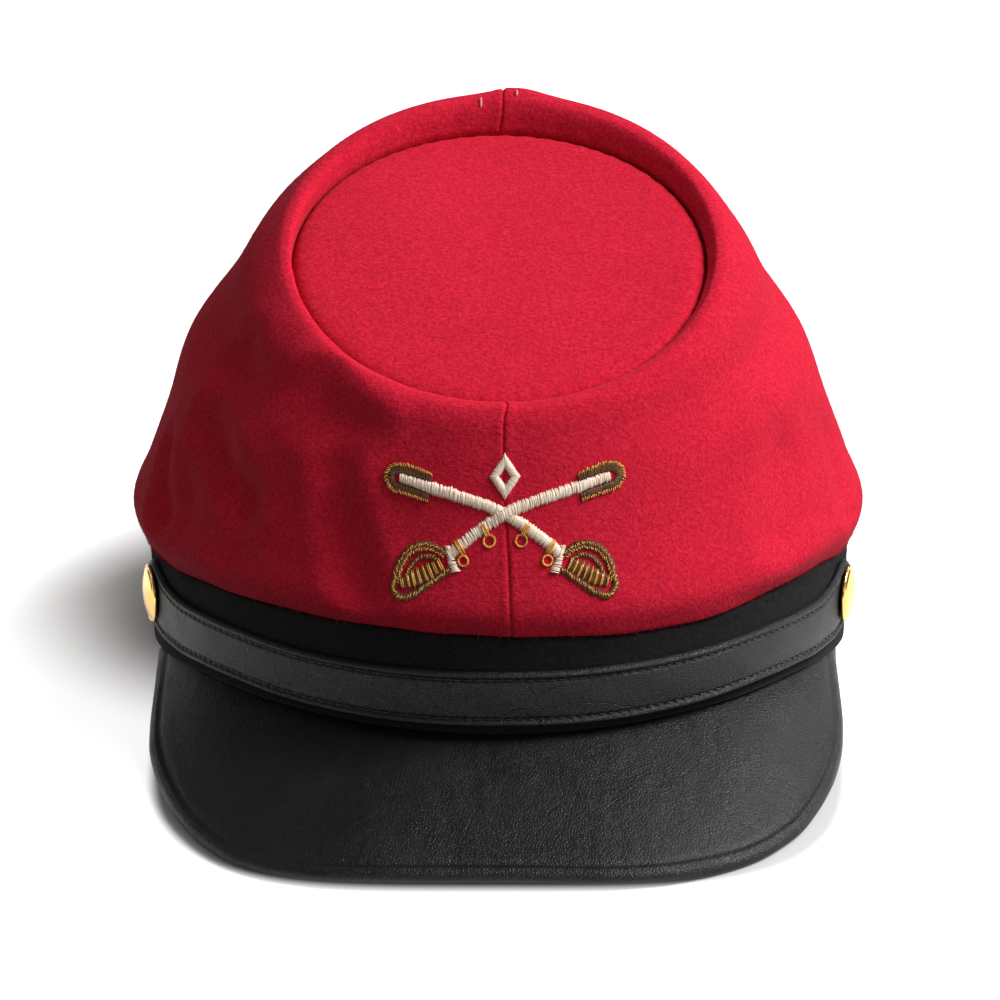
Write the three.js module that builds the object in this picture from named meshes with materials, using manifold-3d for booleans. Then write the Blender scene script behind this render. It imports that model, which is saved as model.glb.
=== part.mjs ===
// Kepi cap: a soft felt cap with a forward-sloping, sunken round top, a dark band round its foot, a stiff leather peak,
// a leather strap across the front of the band and two domed metal side buttons that hold the strap.
// Units are millimetres. +Z is up, the front of the cap faces -Y, +X is the viewer's right when facing the cap.
// The cap stands as it rests on a table: the back third of the rim and the peak's front edge touch z = 0,
// and the front of the rim is raised by the peak. The origin is the middle of the footprint, at table height.
import * as THREE from "three";
import { mergeVertices } from "three/addons/utils/BufferGeometryUtils.js";
import Module from "manifold-3d";

const wasm = await Module();
wasm.setup();

// ---- driving dimensions -------------------------------------------------------------------------------------------
const RIM_HALF_WIDTH = 86.5; // outside of the band, left to right
const RIM_HALF_LENGTH = 98.0; // outside of the band, front to back
const FELT = 2.5; // wall of the felt crown
const BAND_WALL = 2.5;
const GAP = 0.35; // between pieces that touch
const SEAM_HALF_GAP = 0.2; // half the gap between the two crown halves at the front and back seams
const PEAK_THICKNESS = 2.5;
const PEAK_HALF_ANGLE = 76; // degrees round the rim, each side of the front
const PEAK_TUCK = 2.0; // how far the peak's inner edge reaches in under the band
const PEAK_CROWNING = 1.1; // rise of the middle of the peak over a straight line from rim to edge
const STRAP_THICKNESS = 1.4;
const STRAP_END_ANGLE = 72.5; // degrees: where the buttons sit
const BUTTON_RADIUS = 7.0;
const BUTTON_DOME = 1.6;
const BUTTON_RIM = 0.5;
const BUTTON_GAP = 0.25; // between the strap and the button
const SHANK_RADIUS = 1.5;
const SHANK_HOLE_RADIUS = 1.9;
const DISC_CROWNING = 1.4;
const ORIGIN_SHIFT_Y = 17.75; // from the middle of the rim to the middle of the footprint

// The crown's side wall as a stack of oval sections. "at" runs from the band (0) up the wall, over the rolled rim and
// down inside it to the seam of the sunken top (1). Each oval is set by its front and back points and its half width;
// sideLift raises its two sides and sway moves it sideways.
const CROWN_ROWS = [
  { name: "base", at: 0.0, frontY: -98.5, frontZ: 46.4, backY: 98.5, backZ: 26.9, halfWidth: 87.2, sideLift: 0.0, sway: 0.0 },
  { name: "bulge", at: 0.1, frontY: -99.6, frontZ: 50.7, backY: 101.1, backZ: 37.2, halfWidth: 90.5, sideLift: 2.0, sway: -0.2 },
  { name: "lower", at: 0.24, frontY: -96.2, frontZ: 60.0, backY: 94.9, backZ: 56.0, halfWidth: 86.2, sideLift: -0.5, sway: -0.2 },
  { name: "low_mid", at: 0.38, frontY: -92.8, frontZ: 69.0, backY: 85.0, backZ: 76.0, halfWidth: 80.8, sideLift: -0.7, sway: -0.4 },
  { name: "mid", at: 0.52, frontY: -89.4, frontZ: 78.0, backY: 72.0, backZ: 96.0, halfWidth: 75.7, sideLift: 0.0, sway: -0.6 },
  { name: "high", at: 0.65, frontY: -86.2, frontZ: 86.2, backY: 56.4, backZ: 115.0, halfWidth: 66.2, sideLift: 0.0, sway: -0.3 },
  { name: "shoulder", at: 0.77, frontY: -83.6, frontZ: 91.9, backY: 38.8, backZ: 130.4, halfWidth: 60.1, sideLift: 0.0, sway: 0.1 },
  { name: "crest_out", at: 0.85, frontY: -81.6, frontZ: 93.9, backY: 29.2, backZ: 138.3, halfWidth: 55.0, sideLift: 0.0, sway: 0.8 },
  { name: "crest", at: 0.9, frontY: -79.8, frontZ: 94.4, backY: 24.4, backZ: 140.9, halfWidth: 52.3, sideLift: 0.0, sway: 1.0 },
  { name: "crest_in", at: 0.94, frontY: -78.4, frontZ: 94.2, backY: 20.8, backZ: 139.9, halfWidth: 50.7, sideLift: 0.3, sway: 0.9 },
  { name: "roll", at: 0.97, frontY: -77.6, frontZ: 93.8, backY: 18.9, backZ: 137.1, halfWidth: 49.7, sideLift: 0.8, sway: 0.8 },
  { name: "seam", at: 1.0, frontY: -77.1, frontZ: 93.2, backY: 18.0, backZ: 133.2, halfWidth: 49.1, sideLift: 1.4, sway: 0.1 },
];
const CREST_SEAM_BUMP = { rise: 1.5, middleAngle: 176, halfAngle: 8 }; // the folded back seam stands up a little on the rolled rim

// Soft dents and swellings of the felt: where round the wall (degrees from the front, + to the right), how far up,
// how deep (+ is inward), and how wide each way.
const DENTS = [
  { name: "left_fold", angle: -60, at: 0.27, depth: 2.0, spreadAngle: 5.5, spreadAt: 0.16 },
  { name: "left_fold_ridge", angle: -71, at: 0.3, depth: -1.1, spreadAngle: 5, spreadAt: 0.16 },
  { name: "left_front_fold", angle: -44, at: 0.2, depth: 1.6, spreadAngle: 4.5, spreadAt: 0.14 },
  { name: "left_front_ridge", angle: -36, at: 0.26, depth: -0.7, spreadAngle: 5, spreadAt: 0.14 },
  { name: "left_shoulder", angle: -68, at: 0.62, depth: 1.2, spreadAngle: 16, spreadAt: 0.08 },
  { name: "right_shoulder", angle: 72, at: 0.63, depth: 0.8, spreadAngle: 14, spreadAt: 0.07 },
  { name: "right_side_hollow", angle: 55, at: 0.4, depth: 0.7, spreadAngle: 14, spreadAt: 0.14 },
  { name: "rear_left_hollow", angle: -140, at: 0.42, depth: 1.6, spreadAngle: 16, spreadAt: 0.16 },
  { name: "rear_right_hollow", angle: 148, at: 0.36, depth: 1.2, spreadAngle: 13, spreadAt: 0.14 },
];

// The lower edge of the band: its height above the table, the same on both sides. The back of it lies flat.
const RIM_LINE = [
  { angle: 0, height: 21.2 },
  { angle: 25, height: 21.2 },
  { angle: 46, height: 20.5 },
  { angle: 60, height: 18.3 },
  { angle: 70, height: 15.4 },
  { angle: 80, height: 12.4 },
  { angle: 90, height: 9.9 },
  { angle: 100, height: 7.6 },
  { angle: 110, height: 5.5 },
  { angle: 120, height: 3.6 },
  { angle: 130, height: 1.9 },
  { angle: 138, height: 0.7 },
  { angle: 145, height: 0.0 },
  { angle: 180, height: 0.0 },
];

// The upper edge of the band: its height above the table. The soft cloth stands a little higher left of the front.
const BAND_TOP = [
  { angle: -180, height: 25.4 },
  { angle: -165, height: 25.4 },
  { angle: -150, height: 25.9 },
  { angle: -125, height: 28.9 },
  { angle: -110, height: 32.1 },
  { angle: -90, height: 36.1 },
  { angle: -80, height: 38.1 },
  { angle: -70, height: 39.8 },
  { angle: -57, height: 42.3 },
  { angle: -48, height: 43.9 },
  { angle: -35, height: 44.9 },
  { angle: -25, height: 45.3 },
  { angle: -15, height: 45.2 },
  { angle: -5, height: 44.9 },
  { angle: 5, height: 44.4 },
  { angle: 15, height: 43.6 },
  { angle: 24, height: 43 },
  { angle: 31, height: 42.8 },
  { angle: 38, height: 43.2 },
  { angle: 45, height: 43.9 },
  { angle: 52, height: 44.2 },
  { angle: 61, height: 43.1 },
  { angle: 71, height: 40.4 },
  { angle: 80, height: 38.2 },
  { angle: 90, height: 36.1 },
  { angle: 110, height: 32.1 },
  { angle: 125, height: 28.9 },
  { angle: 150, height: 25.9 },
  { angle: 165, height: 25.4 },
  { angle: 180, height: 25.4 },
];

// The peak's outer lower edge, by angle round the rim. It stands on its two front corners; between them it is arched.
const PEAK_EDGE = [
  { angle: -76, x: -83.9, y: -23.5, z: 10.3 },
  { angle: -70.8, x: -83.9, y: -33.2, z: 8.8 },
  { angle: -67.5, x: -83.8, y: -39.3, z: 7.6 },
  { angle: -61, x: -83.63, y: -52.26, z: 5.2 },
  { angle: -54.8, x: -82.92, y: -65.9, z: 3.2 },
  { angle: -48.5, x: -80.35, y: -80.08, z: 1.6 },
  { angle: -44.2, x: -77.53, y: -89.73, z: 0.8 },
  { angle: -39.8, x: -73.8, y: -99.99, z: 0.25 },
  { angle: -34, x: -67.56, y: -112.86, z: 0 },
  { angle: -29, x: -60.61, y: -122.52, z: 0.2 },
  { angle: -24.9, x: -53.15, y: -128.58, z: 0.6 },
  { angle: -20.5, x: -44.29, y: -132.93, z: 0.95 },
  { angle: -16.3, x: -35.41, y: -135.19, z: 1.25 },
  { angle: -8.2, x: -17.73, y: -136.47, z: 1.55 },
  { angle: 0, x: 0, y: -136.6, z: 1.65 },
  { angle: 10.5, x: 22.38, y: -136.25, z: 1.2 },
  { angle: 16.8, x: 35.82, y: -133.98, z: 0.7 },
  { angle: 21.1, x: 44.9, y: -130.43, z: 0.35 },
  { angle: 26, x: 54.17, y: -124.86, z: 0.05 },
  { angle: 29, x: 59.31, y: -120.42, z: 0 },
  { angle: 32, x: 63.84, y: -114.88, z: 0 },
  { angle: 35.8, x: 68.77, y: -107.33, z: 0.1 },
  { angle: 39.4, x: 72.4, y: -99.19, z: 0.35 },
  { angle: 43.6, x: 75.92, y: -89.74, z: 0.9 },
  { angle: 48, x: 78.85, y: -80.09, z: 1.7 },
  { angle: 54.3, x: 81.55, y: -65.91, z: 3.2 },
  { angle: 60.8, x: 82.64, y: -52.27, z: 5.2 },
  { angle: 67.3, x: 82.9, y: -39.3, z: 7.6 },
  { angle: 70.4, x: 83, y: -33.2, z: 8.7 },
  { angle: 76, x: 83.2, y: -22.5, z: 10.3 },
];

// The strap: height of its middle above the table and half its width, by angle from the front, the same on both sides.
const STRAP_LINE = [
  { angle: 0, height: 30.3, half: 6.65 },
  { angle: 15, height: 30.05, half: 6.65 },
  { angle: 30, height: 30.05, half: 6.55 },
  { angle: 42, height: 30.2, half: 6.5 },
  { angle: 52, height: 29.6, half: 6.55 },
  { angle: 60, height: 28.6, half: 6.75 },
  { angle: 66, height: 28.5, half: 7.3 },
  { angle: 70, height: 29.2, half: 7.9 },
  { angle: 72.5, height: 29.7, half: 8.1 },
  { angle: 90, height: 29.7, half: 8.1 },
];

// ---- small tools --------------------------------------------------------------------------------------------------
const rad = (d) => (d * Math.PI) / 180;

// Shape-preserving cubic through a table's rows: returns a function of the key column.
function column(rows, key, name) {
  const x = rows.map((r) => r[key]), y = rows.map((r) => r[name]), n = x.length;
  const h = x.slice(1).map((v, i) => v - x[i]), d = h.map((v, i) => (y[i + 1] - y[i]) / v);
  const m = new Array(n).fill(0);
  m[0] = d[0];
  m[n - 1] = d[n - 2];
  for (let i = 1; i < n - 1; i++) {
    if (d[i - 1] * d[i] > 0) {
      const a = 2 * h[i] + h[i - 1], b = h[i] + 2 * h[i - 1];
      m[i] = (a + b) / (a / d[i - 1] + b / d[i]);
    }
  }
  return (v) => {
    const c = Math.min(Math.max(v, x[0]), x[n - 1]);
    let i = 0;
    while (i < n - 2 && c > x[i + 1]) i++;
    const t = (c - x[i]) / h[i], t2 = t * t, t3 = t2 * t;
    return y[i] * (2 * t3 - 3 * t2 + 1) + h[i] * m[i] * (t3 - 2 * t2 + t) + y[i + 1] * (3 * t2 - 2 * t3) + h[i] * m[i + 1] * (t3 - t2);
  };
}

// A closed solid swept through rings: each ring is a closed polygon of the same number of points. Open sweeps are capped.
function sweep(rings, closed) {
  const k = rings[0].length, v = [], f = [];
  rings.forEach((r) => r.forEach((p) => v.push(p.x, p.y, p.z)));
  const spans = closed ? rings.length : rings.length - 1;
  for (let i = 0; i < spans; i++) {
    const a = i * k, b = ((i + 1) % rings.length) * k;
    for (let j = 0; j < k; j++) {
      const j2 = (j + 1) % k;
      f.push(a + j, b + j, b + j2, a + j, b + j2, a + j2);
    }
  }
  if (!closed) {
    for (const [ring, base, flip] of [[rings[0], 0, false], [rings[rings.length - 1], (rings.length - 1) * k, true]]) {
      for (const [a, b, c] of capTriangles(ring)) f.push(base + a, base + (flip ? c : b), base + (flip ? b : c));
    }
  }
  const g = new THREE.BufferGeometry();
  g.setAttribute("position", new THREE.Float32BufferAttribute(v, 3));
  g.setIndex(f);
  return outward(g);
}

// Triangles that fill a nearly flat closed polygon, turned the way its points run.
function capTriangles(ring) {
  const n = new THREE.Vector3(), c = new THREE.Vector3();
  ring.forEach((p, i) => n.add(new THREE.Vector3().crossVectors(p, ring[(i + 1) % ring.length])));
  ring.forEach((p) => c.add(p));
  n.normalize();
  c.multiplyScalar(1 / ring.length);
  const u = new THREE.Vector3().subVectors(ring[0], c).projectOnPlane(n).normalize(), w = new THREE.Vector3().crossVectors(n, u);
  const flat = ring.map((p) => new THREE.Vector2(p.clone().sub(c).dot(u), p.clone().sub(c).dot(w)));
  return THREE.ShapeUtils.triangulateShape(flat, []).map(([a, b, d]) => {
    const area = (flat[b].x - flat[a].x) * (flat[d].y - flat[a].y) - (flat[b].y - flat[a].y) * (flat[d].x - flat[a].x);
    return area > 0 ? [a, b, d] : [a, d, b];
  });
}

// Turns every face round if the solid came out inside out.
function outward(g) {
  const p = g.getAttribute("position"), i = g.index.array;
  const a = new THREE.Vector3(), b = new THREE.Vector3(), c = new THREE.Vector3();
  let volume = 0;
  for (let t = 0; t < i.length; t += 3) {
    a.fromBufferAttribute(p, i[t]);
    b.fromBufferAttribute(p, i[t + 1]);
    c.fromBufferAttribute(p, i[t + 2]);
    volume += a.dot(b.cross(c));
  }
  if (volume < 0) for (let t = 0; t < i.length; t += 3) [i[t + 1], i[t + 2]] = [i[t + 2], i[t + 1]];
  return g;
}

function toSolid(g) {
  const bare = new THREE.BufferGeometry();
  bare.setAttribute("position", g.getAttribute("position"));
  if (g.index) bare.setIndex(g.index);
  const m = mergeVertices(bare, 1e-3);
  return new wasm.Manifold(new wasm.Mesh({ numProp: 3, vertProperties: new Float32Array(m.attributes.position.array), triVerts: new Uint32Array(m.index.array) }));
}

function fromSolid(s) {
  const m = s.getMesh(), g = new THREE.BufferGeometry();
  g.setAttribute("position", new THREE.BufferAttribute(new Float32Array(m.vertProperties), 3));
  g.setIndex(new THREE.BufferAttribute(new Uint32Array(m.triVerts), 1));
  return g;
}

// ---- the rim oval -------------------------------------------------------------------------------------------------
// frontShare is 0 at the back of the rim and 1 at the front.
const frontShare = (phi) => (1 + Math.cos(phi)) / 2;
const degrees = (phi) => Math.atan2(Math.sin(phi), Math.cos(phi)) * (180 / Math.PI);
const rimLine = column(RIM_LINE, "angle", "height"), bandTop = column(BAND_TOP, "angle", "height");
const rimHeight = (phi) => rimLine(Math.abs(degrees(phi)));
const bandHeight = (phi) => bandTop(degrees(phi)) - rimHeight(phi);

// A point beside the rim: phi round it from the front, out from the band's outer face, above the rim's lower edge.
function byRim(phi, out, above) {
  return new THREE.Vector3((RIM_HALF_WIDTH + out) * Math.sin(phi), -(RIM_HALF_LENGTH + out) * Math.cos(phi), rimHeight(phi) + above);
}
function rimNormal(phi) {
  return new THREE.Vector3(Math.sin(phi) / RIM_HALF_WIDTH, -Math.cos(phi) / RIM_HALF_LENGTH, 0).normalize();
}

// ---- the felt crown -----------------------------------------------------------------------------------------------
const crown = Object.fromEntries(["frontY", "frontZ", "backY", "backZ", "halfWidth", "sideLift", "sway"].map((c) => [c, column(CROWN_ROWS, "at", c)]));

function crownPoint(phi, at) {
  const s = frontShare(phi), yf = crown.frontY(at), yb = crown.backY(at), zf = crown.frontZ(at), zb = crown.backZ(at);
  const p = new THREE.Vector3(
    crown.sway(at) + crown.halfWidth(at) * Math.sin(phi),
    (yf + yb) / 2 - ((yb - yf) / 2) * Math.cos(phi),
    zb + (zf - zb) * s + crown.sideLift(at) * 4 * s * (1 - s),
  );
  // Near the band the wall follows the band's curved upper edge.
  const near = Math.max(0, 1 - at / 0.2) ** 1.5;
  p.z += near * (bandTop(degrees(phi)) + GAP - (crown.backZ(0) + (crown.frontZ(0) - crown.backZ(0)) * s));
  // The back seam stands up on the rolled rim.
  const back = (degrees(phi - rad(CREST_SEAM_BUMP.middleAngle))) / CREST_SEAM_BUMP.halfAngle;
  p.z += CREST_SEAM_BUMP.rise * Math.exp(-back * back) * Math.exp(-(((at - 0.9) / 0.05) ** 2));
  for (const d of DENTS) {
    const a = ((phi * 180) / Math.PI - d.angle) / d.spreadAngle, b = (at - d.at) / d.spreadAt;
    const depth = d.depth * Math.exp(-a * a - b * b);
    p.x -= depth * Math.sin(phi) * 0.92;
    p.y += depth * Math.cos(phi) * 0.92;
    p.z -= depth * 0.3;
  }
  return p;
}

// Outward normal of the crown's wall, by differences.
function crownNormal(phi, at) {
  const e = 1e-3, hi = Math.min(at + e, 1), lo = Math.max(at - e, 0);
  const round = new THREE.Vector3().subVectors(crownPoint(phi + e, at), crownPoint(phi - e, at));
  const up = new THREE.Vector3().subVectors(crownPoint(phi, hi), crownPoint(phi, lo));
  return round.cross(up).normalize();
}

const OUTER_ROWS = [0, 0.04, 0.1, 0.17, 0.24, 0.31, 0.38, 0.45, 0.52, 0.59, 0.65, 0.71, 0.77, 0.82, 0.86, 0.9, 0.93, 0.955, 0.98, 1];
const INNER_ROWS = [0.74, 0.65, 0.52, 0.38, 0.24, 0.1, 0];

// The crown's wall cut across at phi: up the outside, over the rolled rim, down to the seam of the top, back inside.
function crownSection(phi, seamX) {
  const ring = OUTER_ROWS.map((at) => crownPoint(phi, at));
  const under = crownPoint(phi, 1);
  const slope = Math.atan2(crown.backZ(1) - crown.frontZ(1), crown.backY(1) - crown.frontY(1));
  ring.push(new THREE.Vector3(under.x, under.y + Math.sin(slope) * FELT, under.z - Math.cos(slope) * FELT));
  for (const at of INNER_ROWS) {
    const q = crownPoint(phi, at).addScaledVector(crownNormal(phi, Math.max(at, 0.02)), -FELT);
    if (at === 0) q.z = crownPoint(phi, 0).z;
    ring.push(q);
  }
  if (seamX !== null) ring.forEach((q) => (q.x = seamX));
  return ring;
}

function crownHalf(side) {
  const n = 32, rings = [];
  for (let i = 0; i <= n; i++) rings.push(crownSection((side * Math.PI * i) / n, i === 0 || i === n ? side * SEAM_HALF_GAP : null));
  return sweep(rings, false);
}

// ---- the sunken round top -----------------------------------------------------------------------------------------
function topDisc() {
  const n = 48, shares = [1, 0.97, 0.85, 0.6, 0.3];
  const edge = (phi) => crownPoint(phi, 1);
  const middle = new THREE.Vector3().addVectors(edge(0), edge(Math.PI)).multiplyScalar(0.5);
  const normal = new THREE.Vector3(0, -(crown.backZ(1) - crown.frontZ(1)), crown.backY(1) - crown.frontY(1)).normalize();
  const at = (phi, share, drop) => {
    const p = edge(phi).sub(middle), inset = 1 - GAP / p.length();
    const rise = DISC_CROWNING * (1 - share * share) - (share > 0.99 ? 0.5 : 0);
    return p.multiplyScalar(share * inset).add(middle).addScaledVector(normal, rise - drop);
  };
  const v = [], f = [];
  for (const drop of [0, FELT]) for (const s of shares) for (let i = 0; i < n; i++) v.push(...at((2 * Math.PI * i) / n, s, drop).toArray());
  const rings = shares.length, top = 2 * rings * n, bottom = top + 1;
  v.push(...at(0, 0, 0).toArray(), ...at(0, 0, FELT).toArray());
  for (let i = 0; i < n; i++) {
    const j = (i + 1) % n;
    for (let r = 0; r < rings - 1; r++) {
      const a = r * n, b = (r + 1) * n, c = (rings + r) * n, d = (rings + r + 1) * n;
      f.push(a + i, a + j, b + j, a + i, b + j, b + i, c + i, d + j, c + j, c + i, d + i, d + j);
    }
    const last = (rings - 1) * n, lastUnder = (2 * rings - 1) * n, under = rings * n;
    f.push(last + i, last + j, top, lastUnder + i, bottom, lastUnder + j, i, under + j, j, i, under + i, under + j);
  }
  const g = new THREE.BufferGeometry();
  g.setAttribute("position", new THREE.Float32BufferAttribute(v, 3));
  g.setIndex(f);
  return outward(g);
}

// ---- the band -----------------------------------------------------------------------------------------------------
function band() {
  const n = 96, rings = [];
  for (let i = 0; i < n; i++) {
    const phi = (2 * Math.PI * i) / n, h = bandHeight(phi);
    rings.push([byRim(phi, 0, 0.4), byRim(phi, 0, h - 0.4), byRim(phi, -0.4, h), byRim(phi, -BAND_WALL, h), byRim(phi, -BAND_WALL, 0), byRim(phi, -0.4, 0)]);
  }
  return sweep(rings, true);
}

// ---- the peak -----------------------------------------------------------------------------------------------------
const peakEdge = Object.fromEntries(["x", "y", "z"].map((c) => [c, column(PEAK_EDGE, "angle", c)]));

function peak() {
  const n = 52, radial = [0.07, 0.2, 0.36, 0.52, 0.68, 0.84, 0.96], rings = [];
  for (let i = 0; i <= n; i++) {
    const deg = PEAK_HALF_ANGLE * ((2 * i) / n - 1), phi = rad(deg);
    const inner = byRim(phi, -PEAK_TUCK, -GAP);
    const outer = new THREE.Vector3(peakEdge.x(deg), peakEdge.y(deg), peakEdge.z(deg) + PEAK_THICKNESS);
    const depth = Math.hypot(outer.x - inner.x, outer.y - inner.y);
    const surface = (share, drop) => {
      const p = inner.clone().lerp(outer, share);
      p.z += PEAK_CROWNING * Math.min(1, depth / 30) * 4 * share * (1 - share) * 0.75 - drop;
      return p;
    };
    const ring = [surface(0, 0)];
    radial.forEach((s) => ring.push(surface(s, 0)));
    ring.push(surface(1, 0.7), surface(1, PEAK_THICKNESS - 0.7), surface(1 - Math.min(0.28, 0.7 / depth), PEAK_THICKNESS));
    radial.slice(0, 5).reverse().forEach((s) => ring.push(surface(s, PEAK_THICKNESS)));
    ring.push(surface(0, PEAK_THICKNESS));
    rings.push(ring);
  }
  return sweep(rings, false);
}

// ---- strap and buttons --------------------------------------------------------------------------------------------
const strapHeight = column(STRAP_LINE, "angle", "height"), strapHalf = column(STRAP_LINE, "angle", "half");
const buttonPhi = rad(STRAP_END_ANGLE);
const END_RADIUS = strapHalf(STRAP_END_ANGLE);
// A point beside the band: phi from the front, out from the band's outer face, at a height above the table.
const byBand = (phi, out, height) => byRim(phi, out, height - rimHeight(phi));

function strap() {
  const rings = [], beyond = [0.99, 0.9, 0.72, 0.48, 0.24], straight = 46;
  const perMm = 1 / byRim(buttonPhi, 0, 0).setZ(0).length(); // radians round the rim for each millimetre near the buttons
  const stations = [
    ...beyond.map((b) => ({ phi: -buttonPhi - b * END_RADIUS * perMm, half: END_RADIUS * Math.sqrt(1 - b * b) })),
    ...Array.from({ length: straight + 1 }, (_, i) => buttonPhi * ((2 * i) / straight - 1)).map((phi) => ({ phi, half: strapHalf(Math.abs(degrees(phi))) })),
    ...beyond.slice().reverse().map((b) => ({ phi: buttonPhi + b * END_RADIUS * perMm, half: END_RADIUS * Math.sqrt(1 - b * b) })),
  ];
  for (const { phi, half } of stations) {
    const mid = strapHeight(Math.abs(degrees(phi))), soft = Math.min(0.4, half * 0.3), t = STRAP_THICKNESS;
    const at = (out, up) => byBand(phi, 0, mid + up).addScaledVector(rimNormal(phi), GAP + out);
    rings.push([at(0, -half + soft), at(soft, -half), at(t - soft, -half), at(t, -half + soft), at(t, half - soft), at(t - soft, half), at(soft, half), at(0, half - soft)]);
  }
  return sweep(rings, false);
}

// The place and the outward direction of a button: side is -1 on the left and +1 on the right.
function buttonFrame(side) {
  const phi = side * buttonPhi, normal = rimNormal(phi);
  return { at: byBand(phi, 0, strapHeight(STRAP_END_ANGLE)), normal, turn: new THREE.Quaternion().setFromUnitVectors(new THREE.Vector3(0, 1, 0), normal) };
}

function shankHole(side) {
  const { at, normal, turn } = buttonFrame(side);
  const g = new THREE.CylinderGeometry(SHANK_HOLE_RADIUS, SHANK_HOLE_RADIUS, 16, 16);
  g.applyQuaternion(turn);
  g.translate(...at.clone().addScaledVector(normal, 0).toArray());
  return toSolid(g);
}

// A domed button with a straight shank that passes through the strap and the band.
function button() {
  const base = GAP + STRAP_THICKNESS + BUTTON_GAP, r = BUTTON_RADIUS, sphere = (r * r + BUTTON_DOME * BUTTON_DOME) / (2 * BUTTON_DOME);
  const profile = [[0, -BAND_WALL], [SHANK_RADIUS, -BAND_WALL], [SHANK_RADIUS, base], [r - 0.3, base], [r, base + 0.3], [r, base + BUTTON_RIM]];
  for (let i = 1; i < 6; i++) {
    const x = r * (1 - i / 6) * 0.985;
    profile.push([x, base + BUTTON_RIM + BUTTON_DOME - sphere + Math.sqrt(sphere * sphere - x * x)]);
  }
  profile.push([0, base + BUTTON_RIM + BUTTON_DOME]);
  return new THREE.LatheGeometry(profile.map(([x, y]) => new THREE.Vector2(x, y)), 24);
}

// ---- assembly -----------------------------------------------------------------------------------------------------
const felt = (name) => new THREE.MeshStandardMaterial({ name, color: 0xb3122c, roughness: 0.95, metalness: 0 });
const bandCloth = new THREE.MeshStandardMaterial({ name: "band_cloth", color: 0x0b0a0a, roughness: 1, metalness: 0 });
const leather = (name) => new THREE.MeshStandardMaterial({ name, color: 0x141312, roughness: 0.45, metalness: 0 });
const brass = new THREE.MeshStandardMaterial({ name: "gilt", color: 0xe2b24a, roughness: 0.18, metalness: 1 });

const cap = new THREE.Group();
cap.name = "kepi";
cap.position.y = ORIGIN_SHIFT_Y;
function add(name, geometry, material) {
  const mesh = new THREE.Mesh(geometry, material);
  mesh.name = name;
  cap.add(mesh);
  return mesh;
}

add("crown_left", crownHalf(-1), felt("crown_felt"));
add("crown_right", crownHalf(1), felt("crown_felt"));
add("top_disc", topDisc(), felt("top_felt"));
const holes = [shankHole(-1), shankHole(1)];
add("band", fromSolid(toSolid(band()).subtract(holes[0]).subtract(holes[1])), bandCloth);
add("peak", peak(), leather("peak_leather"));
add("strap", fromSolid(toSolid(strap()).subtract(holes[0]).subtract(holes[1])), leather("strap_leather"));
for (const [name, side] of [["button_left", -1], ["button_right", 1]]) {
  const mesh = add(name, button(), brass), { at, turn } = buttonFrame(side);
  mesh.position.copy(at);
  mesh.quaternion.copy(turn);
}

export default cap;
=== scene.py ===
import math

import bpy
import numpy as np
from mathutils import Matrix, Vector


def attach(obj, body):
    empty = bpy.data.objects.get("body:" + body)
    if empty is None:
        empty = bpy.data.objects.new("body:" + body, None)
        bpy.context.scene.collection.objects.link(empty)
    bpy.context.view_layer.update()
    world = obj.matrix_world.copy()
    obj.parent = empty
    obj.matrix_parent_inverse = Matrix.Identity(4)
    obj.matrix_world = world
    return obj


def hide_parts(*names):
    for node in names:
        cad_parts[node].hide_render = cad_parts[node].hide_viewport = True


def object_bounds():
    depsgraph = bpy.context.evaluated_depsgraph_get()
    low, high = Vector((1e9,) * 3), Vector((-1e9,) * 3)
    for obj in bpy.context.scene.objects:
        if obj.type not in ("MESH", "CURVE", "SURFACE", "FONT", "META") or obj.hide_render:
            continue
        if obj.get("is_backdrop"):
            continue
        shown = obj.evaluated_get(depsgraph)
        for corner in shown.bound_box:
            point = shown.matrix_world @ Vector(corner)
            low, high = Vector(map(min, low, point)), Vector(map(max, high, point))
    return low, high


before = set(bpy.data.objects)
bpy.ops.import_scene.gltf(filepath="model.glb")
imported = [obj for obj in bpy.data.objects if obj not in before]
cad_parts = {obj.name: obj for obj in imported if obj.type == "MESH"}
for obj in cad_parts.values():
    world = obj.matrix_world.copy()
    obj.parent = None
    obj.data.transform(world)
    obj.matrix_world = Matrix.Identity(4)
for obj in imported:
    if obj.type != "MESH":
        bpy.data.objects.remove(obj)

CAD_BOX = [list(c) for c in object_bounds()]

# ---------------------------------------------------------------------------------------------------------------------
# Named sizes, in millimetres, the same as the CAD's. Front is -Y, up is +Z.
# ---------------------------------------------------------------------------------------------------------------------
MM = 0.001
RIM_HALF_WIDTH, RIM_HALF_LENGTH = 86.5, 98.0
FELT, BAND_WALL = 2.5, 2.5
GAP = 0.35
PEAK_THICKNESS, PEAK_HALF_ANGLE, PEAK_TUCK, PEAK_CROWNING = 2.5, 76, 2.0, 1.1
STRAP_THICKNESS, STRAP_END_ANGLE = 1.4, 72.5
BUTTON_RADIUS, BUTTON_DOME, BUTTON_RIM, BUTTON_GAP, SHANK_RADIUS = 7.0, 1.6, 0.5, 0.25, 1.5
DISC_CROWNING = 2.2  # the finished felt stands a little prouder in the middle than the plain CAD top
ORIGIN_SHIFT_Y = 17.75

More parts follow.
